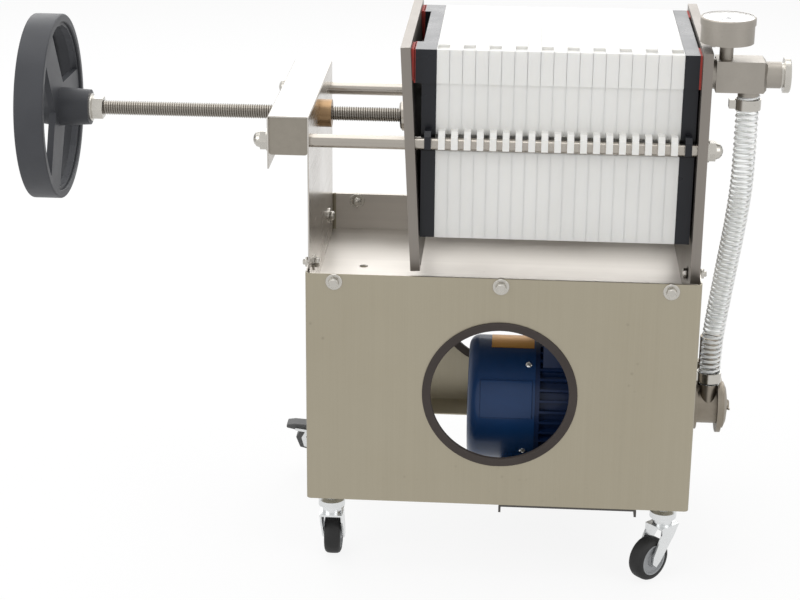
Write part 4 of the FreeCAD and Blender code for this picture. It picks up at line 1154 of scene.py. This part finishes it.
@dataclass
class FeedHose(Assembly):
    """The clear feed hose with its stiff white helix."""

    radius: float = 10.9
    rib: float = 1.45
    rib_pitch: float = 6.1
    route: tuple[tuple[float, float, float], ...] = (
        (0.3595, -0.090, 0.532),
        (0.3595, -0.090, 0.484),
        (0.3601, -0.0815, 0.434),
        (0.3575, -0.066, 0.384),
        (0.3535, -0.049, 0.334),
        (0.3495, -0.0345, 0.284),
        (0.3455, -0.022, 0.234),
        (0.3455, -0.022, 0.187),
    )

    def spline(self, name: str, bevel: float) -> bpy.types.Object:
        """The route as a smooth curve.

        Args:
            name: the curve's name.
            bevel: its radius in metres, or 0 for a bare line.

        Returns:
            The curve object.
        """
        curve = bpy.data.curves.new(name, "CURVE")
        curve.dimensions = "3D"
        line = curve.splines.new("NURBS")
        line.points.add(len(self.route) - 1)
        for point, place in zip(line.points, self.route):
            point.co = (*place, 1.0)
        line.order_u = 3
        line.use_endpoint_u = True
        line.resolution_u = 24
        curve.bevel_depth = bevel
        curve.bevel_resolution = 8
        curve.use_fill_caps = True
        hose = bpy.data.objects.new(name, curve)
        bpy.context.collection.objects.link(hose)
        return hose

    def samples(self) -> list[Vector]:
        """Points read from the route's own curve.

        Returns:
            The points in order.
        """
        line = self.spline("route_line", 0.0)
        graph = bpy.context.evaluated_depsgraph_get()
        mesh = bpy.data.meshes.new_from_object(line.evaluated_get(graph))
        points = [vertex.co.copy() for vertex in mesh.vertices]
        bpy.data.objects.remove(line)
        bpy.data.meshes.remove(mesh)
        return points

    def helix(self, points: list[Vector]) -> bpy.types.Object:
        """The white rib wound round the hose.

        Args:
            points: the hose's centre line.

        Returns:
            The rib as a mesh.
        """
        lengths = [0.0]
        for here, there in zip(points, points[1:]):
            lengths.append(lengths[-1] + (there - here).length)
        turns = lengths[-1] / (self.rib_pitch * MM)
        per_turn = 14
        places = []
        index = 0
        for step in range(int(turns * per_turn) + 1):
            along = lengths[-1] * step / (turns * per_turn)
            while index < len(lengths) - 2 and lengths[index + 1] < along:
                index += 1
            share = (along - lengths[index]) / max(1e-9, lengths[index + 1] - lengths[index])
            middle = points[index].lerp(points[index + 1], share)
            run = (points[index + 1] - points[index]).normalized()
            across = Vector((1, 0, 0)) - run * run.x
            across.normalize()
            other = run.cross(across)
            turn = math.tau * step / per_turn
            places.append(
                middle + (across * math.cos(turn) + other * math.sin(turn)) * (self.radius - 0.2) * MM
            )
        curve = bpy.data.curves.new("hose_rib", "CURVE")
        curve.dimensions = "3D"
        line = curve.splines.new("POLY")
        line.points.add(len(places) - 1)
        for point, place in zip(line.points, places):
            point.co = (*place, 1.0)
        curve.bevel_depth = self.rib * MM
        curve.bevel_resolution = 1
        curve.use_fill_caps = True
        rib = bpy.data.objects.new("hose_rib", curve)
        bpy.context.collection.objects.link(rib)
        Bench.take(rib)
        bpy.ops.object.convert(target="MESH")
        rib = bpy.context.view_layer.objects.active
        bpy.ops.object.shade_smooth()
        return rib

    def build(self) -> None:
        points = self.samples()
        rib = self.helix(points)
        self.fit(rib, "hose_helix", HOSE_RIB, "clear_hose")
        hose = self.spline("feed_hose_tube", self.radius * MM)
        self.fit(hose, "feed_hose_tube", HOSE_CLEAR, "clear_hose")
        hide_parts("feed_hose")
        self.report()


# ---------------------------------------------------------------- motor and pump


@dataclass
class PumpSet(Assembly):
    """The motor with its fan cover and the pump on its end."""

    axis: tuple[float, float] = (-0.012, 0.157)
    cover: tuple[float, float] = (0.0795, 0.1535)
    cover_radius: float = 70.0
    label: tuple[float, float] = (0.1045, 0.1515)
    label_turn: tuple[float, float] = (75.0, 106.0)
    screw_places: tuple[tuple[float, float], ...] = (
        (0.1460, 126.0), (0.1415, 213.0), (0.1460, 54.0), (0.1415, 327.0),
    )
    arch: tuple[float, float] = (0.0936, 0.1505)
    arch_turn: tuple[float, float] = (142.0, 176.0)

    def around(self, angle: float, radius: float, along: float) -> Vector:
        """A point about the motor's axis.

        Args:
            angle: degrees from +Y, over the top.
            radius: distance from the axis in millimetres.
            along: X.

        Returns:
            The point.
        """
        turn = math.radians(angle)
        return Vector(
            (
                along, self.axis[0] + math.cos(turn) * radius * MM,
                self.axis[1] + math.sin(turn) * radius * MM,
            )
        )

    def patch(
        self, along: tuple[float, float], angles: tuple[float, float], gauge: float, steps: int = 10,
    ) -> bpy.types.Object:
        """A bent plate that lies on the fan cover.

        Args:
            along: its two ends in X.
            angles: its two edges in degrees about the axis.
            gauge: its thickness in millimetres.
            steps: faces across the bend.

        Returns:
            The plate.
        """
        low, high = self.cover_radius + 0.05, self.cover_radius + gauge
        turns = [angles[0] + (angles[1] - angles[0]) * step / steps for step in range(steps + 1)]
        corners = [self.around(turn, low, along[0]) for turn in turns] + [
            self.around(turn, high, along[0]) for turn in reversed(turns)
        ]
        return Bench.prism(corners, Vector((along[1] - along[0], 0, 0)))

    def cover_screws(self) -> None:
        """Adds the pan head screws that hold the fan cover."""
        heads = []
        for along, angle in self.screw_places:
            seat = self.around(angle, self.cover_radius - 0.2, along)
            axis = (self.around(angle, self.cover_radius + 5, along) - seat).normalized()
            heads.append(
                Bench.lathe(
                    [(0, 0), (0, 3.6), (1.1, 3.5), (1.9, 2.6), (2.1, 1.5), (1.5, 1.3), (1.4, 0)], seat,
                    axis, 20,
                )
            )
        self.fit(Bench.joined(heads, "cover_screws"), "cover_screws", ZINC, "bright_steel")

    def embossing(self) -> None:
        """Adds the raised field that is pressed into the fan cover's side."""
        field_plate = Bench.bevelled(self.patch(self.arch, self.arch_turn, 1.5, 14), 1.1, 3)
        self.fit(field_plate, "cover_arch", MOTOR_PAINT, "blue_paint")

    def wing_nut(self) -> None:
        """Adds the wing nut that holds the pump's cover."""
        low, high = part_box("pump_cover")
        centre = Vector((high[0] - 3.2 * MM, (low[1] + high[1]) / 2, (low[2] + high[2]) / 2))
        boss = Bench.lathe(
            [(0, 0), (0, 6.4), (2.0, 5.8), (3.1, 4.6), (3.1, 0)], centre, Axis.X.vector(), 24,
        )
        wings = []
        for side in (-1, 1):
            corners = [centre + Vector((along, side * across, -0.9)) * MM for along, across in ((0.2, 4), (0.2, 11), (1.6, 14), (3.1, 14), (3.1, 9), (1.8, 4))]
            wings.append(Bench.prism(corners, Vector((0, 0, 1.8 * MM)), 0.5))
        self.fit(Bench.joined([boss, *wings], "pump_wing_nut"), "pump_wing_nut", PUMP_BRASS, "cast_metal")

    def build(self) -> None:
        """Dresses the motor and pump and adds their small pieces."""
        self.dress(FIN_PAINT, "motor_housing")
        self.dress(MOTOR_PAINT, "fan_cover")
        self.dress(PUMP_BRASS, "pump_bracket", "pump_body", "pump_cover")
        plate = self.patch(self.label, self.label_turn, 0.6)
        self.fit(plate, "motor_label_plate", LABEL_METAL, "blue_paint")
        self.cover_screws()
        self.embossing()
        self.wing_nut()
        self.report()


# ---------------------------------------------------------------- casters


@dataclass
class Casters(Assembly):
    """Four casters: plated forks, rubber tyres on grey hubs."""

    names: tuple[str, ...] = ("front_left", "front_right", "rear_left", "rear_right")
    headings: tuple[float, ...] = (90.0, 225.0, 180.0, 160.0)
    radius: float = 24.0
    half: float = 9.0
    trail: float = 20.0
    pedal_half: float = 9.3
    tongue: tuple[tuple[float, float], ...] = (
        (34, 61.4), (52, 61.0), (68, 62.0), (77, 60.6), (77, 56.6), (67, 54.4), (52, 51.6), (34, 53.0),
    )
    toe: tuple[tuple[float, float], ...] = (
        (50, 53.6), (60, 54.0), (66, 44.0), (61, 31.0), (46, 27.4), (42, 28.6), (42, 35.2), (52, 38.8),
        (54, 45.0),
    )

    def build(self) -> None:
        """Dresses the forks and turns each wheel."""
        for name, heading in zip(self.names, self.headings):
            self.dress(ZINC, f"caster_fork_{name}")
            node = f"caster_wheel_{name}"
            low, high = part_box(node)
            centre = Vector([(a + b) / 2 for a, b in zip(low, high)])
            turn = math.radians(heading - 180)
            axis = Vector((-math.sin(turn), math.cos(turn), 0))
            tyre = Bench.lathe(self.tyre_profile(), centre, axis, 56)
            self.fit(tyre, f"tyre_{name}", TYRE_RUBBER, "caster_rubber", f"wheel_{name}")
            hub = Bench.lathe(self.hub_profile(), centre, axis, 48)
            self.fit(hub, f"hub_{name}", HUB_PLASTIC, "zinc", f"wheel_{name}")
            if name.startswith("rear"):
                self.pedal(name, heading)
            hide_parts(node)
            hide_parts(node)
        self.report()

    def pedal(self, name: str, heading: float) -> None:
        """Adds the black brake pedal of a rear caster, a tongue above a bent toe.

        Args:
            name: the caster.
            heading: the way it trails, in degrees from +X.
        """
        low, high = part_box(f"caster_wheel_{name}")
        turn = math.radians(heading)
        out, across = Vector((math.cos(turn), math.sin(turn), 0)), Vector(
            (-math.sin(turn), math.cos(turn), 0)
        )
        stem = Vector([(a + b) / 2 for a, b in zip(low, high)]) - out * self.trail * MM
        stem.z = 0.0
        pieces = []
        for outline, half in ((self.tongue, self.pedal_half), (self.toe, self.pedal_half * 0.8)):
            corners = [stem + out * (reach * MM) + Vector((0, 0, level * MM)) - across * (half * MM) for reach, level in outline]
            pieces.append(Bench.prism(corners, across * (2 * half * MM), 1.0))
        self.fit(
            Bench.joined(pieces, f"pedal_{name}"), f"pedal_{name}", PEDAL_PLASTIC, "dark_plastic",
            f"caster_{name}",
        )

    def tyre_profile(self) -> list[tuple[float, float]]:
        """The tyre's section.

        Returns:
            Pairs of place along the axle and radius.
        """
        half, radius = self.half, self.radius
        return [(-half + 0.6, 17.2), (-half, 17.8), (-half, 20.0), (-half + 1.2, 22.4), (-half + 3.4, 23.7), (-half + 6, radius),
                (half - 6, radius), (half - 3.4, 23.7), (half - 1.2, 22.4), (half, 20.0), (half, 17.8), (half - 0.6, 17.2), (
                    -half + 0.6, 17.2,
                )]

    def hub_profile(self) -> list[tuple[float, float]]:
        """The hub's section, dished on both sides.

        Returns:
            Pairs of place along the axle and radius.
        """
        half = self.half
        return [(-half, 4.2), (-half, 6.8), (-half + 2.4, 7.6), (-half + 2.4, 14.2), (-half + 0.4, 15.6), (-half + 0.4, 17.1),
                (
                    half - 0.4, 17.1,
                ), (half - 0.4, 15.6), (half - 2.4, 14.2), (half - 2.4, 7.6), (half, 6.8), (half, 4.2), (-half, 4.2)]


# ---------------------------------------------------------------- studio


@dataclass
class Studio:
    """Camera, floor, lamps and background."""

    place: tuple[float, float, float] = (0.13379, -2.10771, 1.04498)
    pitch: float = 20.2445
    yaw: float = -3.5659
    roll: float = 0.5464
    lens: float = 90.8008
    shift: tuple[float, float] = (-0.00231, -0.00103)
    floor_white: float = 0.88

    def camera(self) -> None:
        """Sets the camera at the viewing angle."""
        down, left, tilt = (math.radians(value) for value in (self.pitch, self.yaw, self.roll))
        ahead = Vector((math.sin(left) * math.cos(down), math.cos(left) * math.cos(down), -math.sin(down)))
        right = Vector((math.cos(left), -math.sin(left), 0))
        up = right.cross(ahead)
        right_tilted = right * math.cos(tilt) + up * math.sin(tilt)
        up_tilted = up * math.cos(tilt) - right * math.sin(tilt)
        data = bpy.data.cameras.new("camera")
        data.lens, data.sensor_width = self.lens, 36.0
        data.shift_x, data.shift_y = self.shift
        data.clip_start, data.clip_end = 0.05, 50.0
        camera = bpy.data.objects.new("camera", data)
        bpy.context.collection.objects.link(camera)
        turn = Matrix((right_tilted, up_tilted, -ahead)).transposed()
        camera.matrix_world = Matrix.Translation(self.place) @ turn.to_4x4()
        bpy.context.scene.camera = camera

    def seen(self, tree: Tree) -> bpy.types.NodeSocket:
        """One for rays from the eye, a mirror or a clear piece, and zero for rays that carry light.

        Args:
            tree: the tree that needs it.

        Returns:
            The value.
        """
        path = tree.add("LightPath")
        mirrored = tree.maths("MAXIMUM", path.outputs["Is Camera Ray"], path.outputs["Is Glossy Ray"])
        return tree.maths("MAXIMUM", mirrored, path.outputs["Is Transmission Ray"])

    def floor(self) -> None:
        """Lays a wide pale floor under the casters."""
        Bench.clear()
        bpy.ops.mesh.primitive_plane_add(size=30.0, location=(0, 0, -0.0004))
        floor = Bench.done()
        floor.name = floor.data.name = "floor"
        material = bpy.data.materials.new("floor_white")
        material.use_nodes = True
        material.node_tree.nodes.clear()
        tree = Tree(material.node_tree)
        shaded = tree.add("BsdfDiffuse", Color=(0.9, 0.9, 0.9, 1))
        white = tree.add("Emission", Color=(1, 1, 1, 1), Strength=1.0)
        both = tree.add("MixShader")
        tree.feed(both.inputs[0], tree.maths("MULTIPLY", self.seen(tree), self.floor_white))
        tree.feed(both.inputs[1], shaded.outputs[0])
        tree.feed(both.inputs[2], white.outputs[0])
        out = tree.add("OutputMaterial")
        tree.feed(out.inputs["Surface"], both.outputs[0])
        floor.data.materials.append(material)

    def lamp(self, name: str, place: Point, aim: Point, size: tuple[float, float], power: float) -> None:
        """Adds a soft rectangular lamp.

        Args:
            name: its name.
            place: where it stands.
            aim: what it points at.
            size: its width and height.
            power: its power in watts.
        """
        data = bpy.data.lights.new(name, "AREA")
        data.shape = "RECTANGLE"
        data.size, data.size_y = size
        data.energy = power
        lamp = bpy.data.objects.new(name, data)
        lamp.visible_camera = False
        bpy.context.collection.objects.link(lamp)
        lamp.location = place
        lamp.rotation_euler = (Vector(aim) - Vector(place)).to_track_quat("-Z", "Y").to_euler()

    def world(self) -> None:
        """A white background for the eye and for reflections, with softer light from it."""
        world = bpy.data.worlds.new("studio")
        bpy.context.scene.world = world
        world.use_nodes = True
        world.node_tree.nodes.clear()
        tree = Tree(world.node_tree)
        strength = tree.ramp(self.seen(tree), 0.0, 1.0, 0.6, 1.0)
        background = tree.add("Background", Color=(1, 1, 1, 1), Strength=strength)
        out = tree.add("OutputWorld")
        tree.feed(out.inputs["Surface"], background.outputs[0])

    def build(self) -> None:
        """Sets the whole studio up."""
        scene = bpy.context.scene
        scene.view_settings.view_transform = "Standard"
        self.camera()
        self.floor()
        self.world()
        self.lamp("top", (-0.3, 0.3, 2.6), (0.1, 0, 0.4), (2.4, 2.0), 26)
        self.lamp("back", (0.1, 2.2, 1.6), (0.1, 0, 0.45), (3.0, 1.6), 26)
        self.lamp("left", (-2.0, -1.8, 1.6), (0.1, 0, 0.4), (1.6, 1.6), 16)
        self.lamp("right", (2.2, -1.6, 1.6), (0.1, 0, 0.4), (1.6, 1.6), 14)


def main() -> None:
    """Builds every sub-assembly in order, then the studio."""
    logging.basicConfig(level=logging.INFO, format="%(name)s: %(message)s")
    for assembly in (
        Cabinet(), PressFrame(), Spindle(), PlatePack(), Inlet(), FeedHose(), PumpSet(), Casters(),
    ):
        assembly.build()
    Studio().build()
    Bench.clear()


if __name__ == "__main__":
    main()
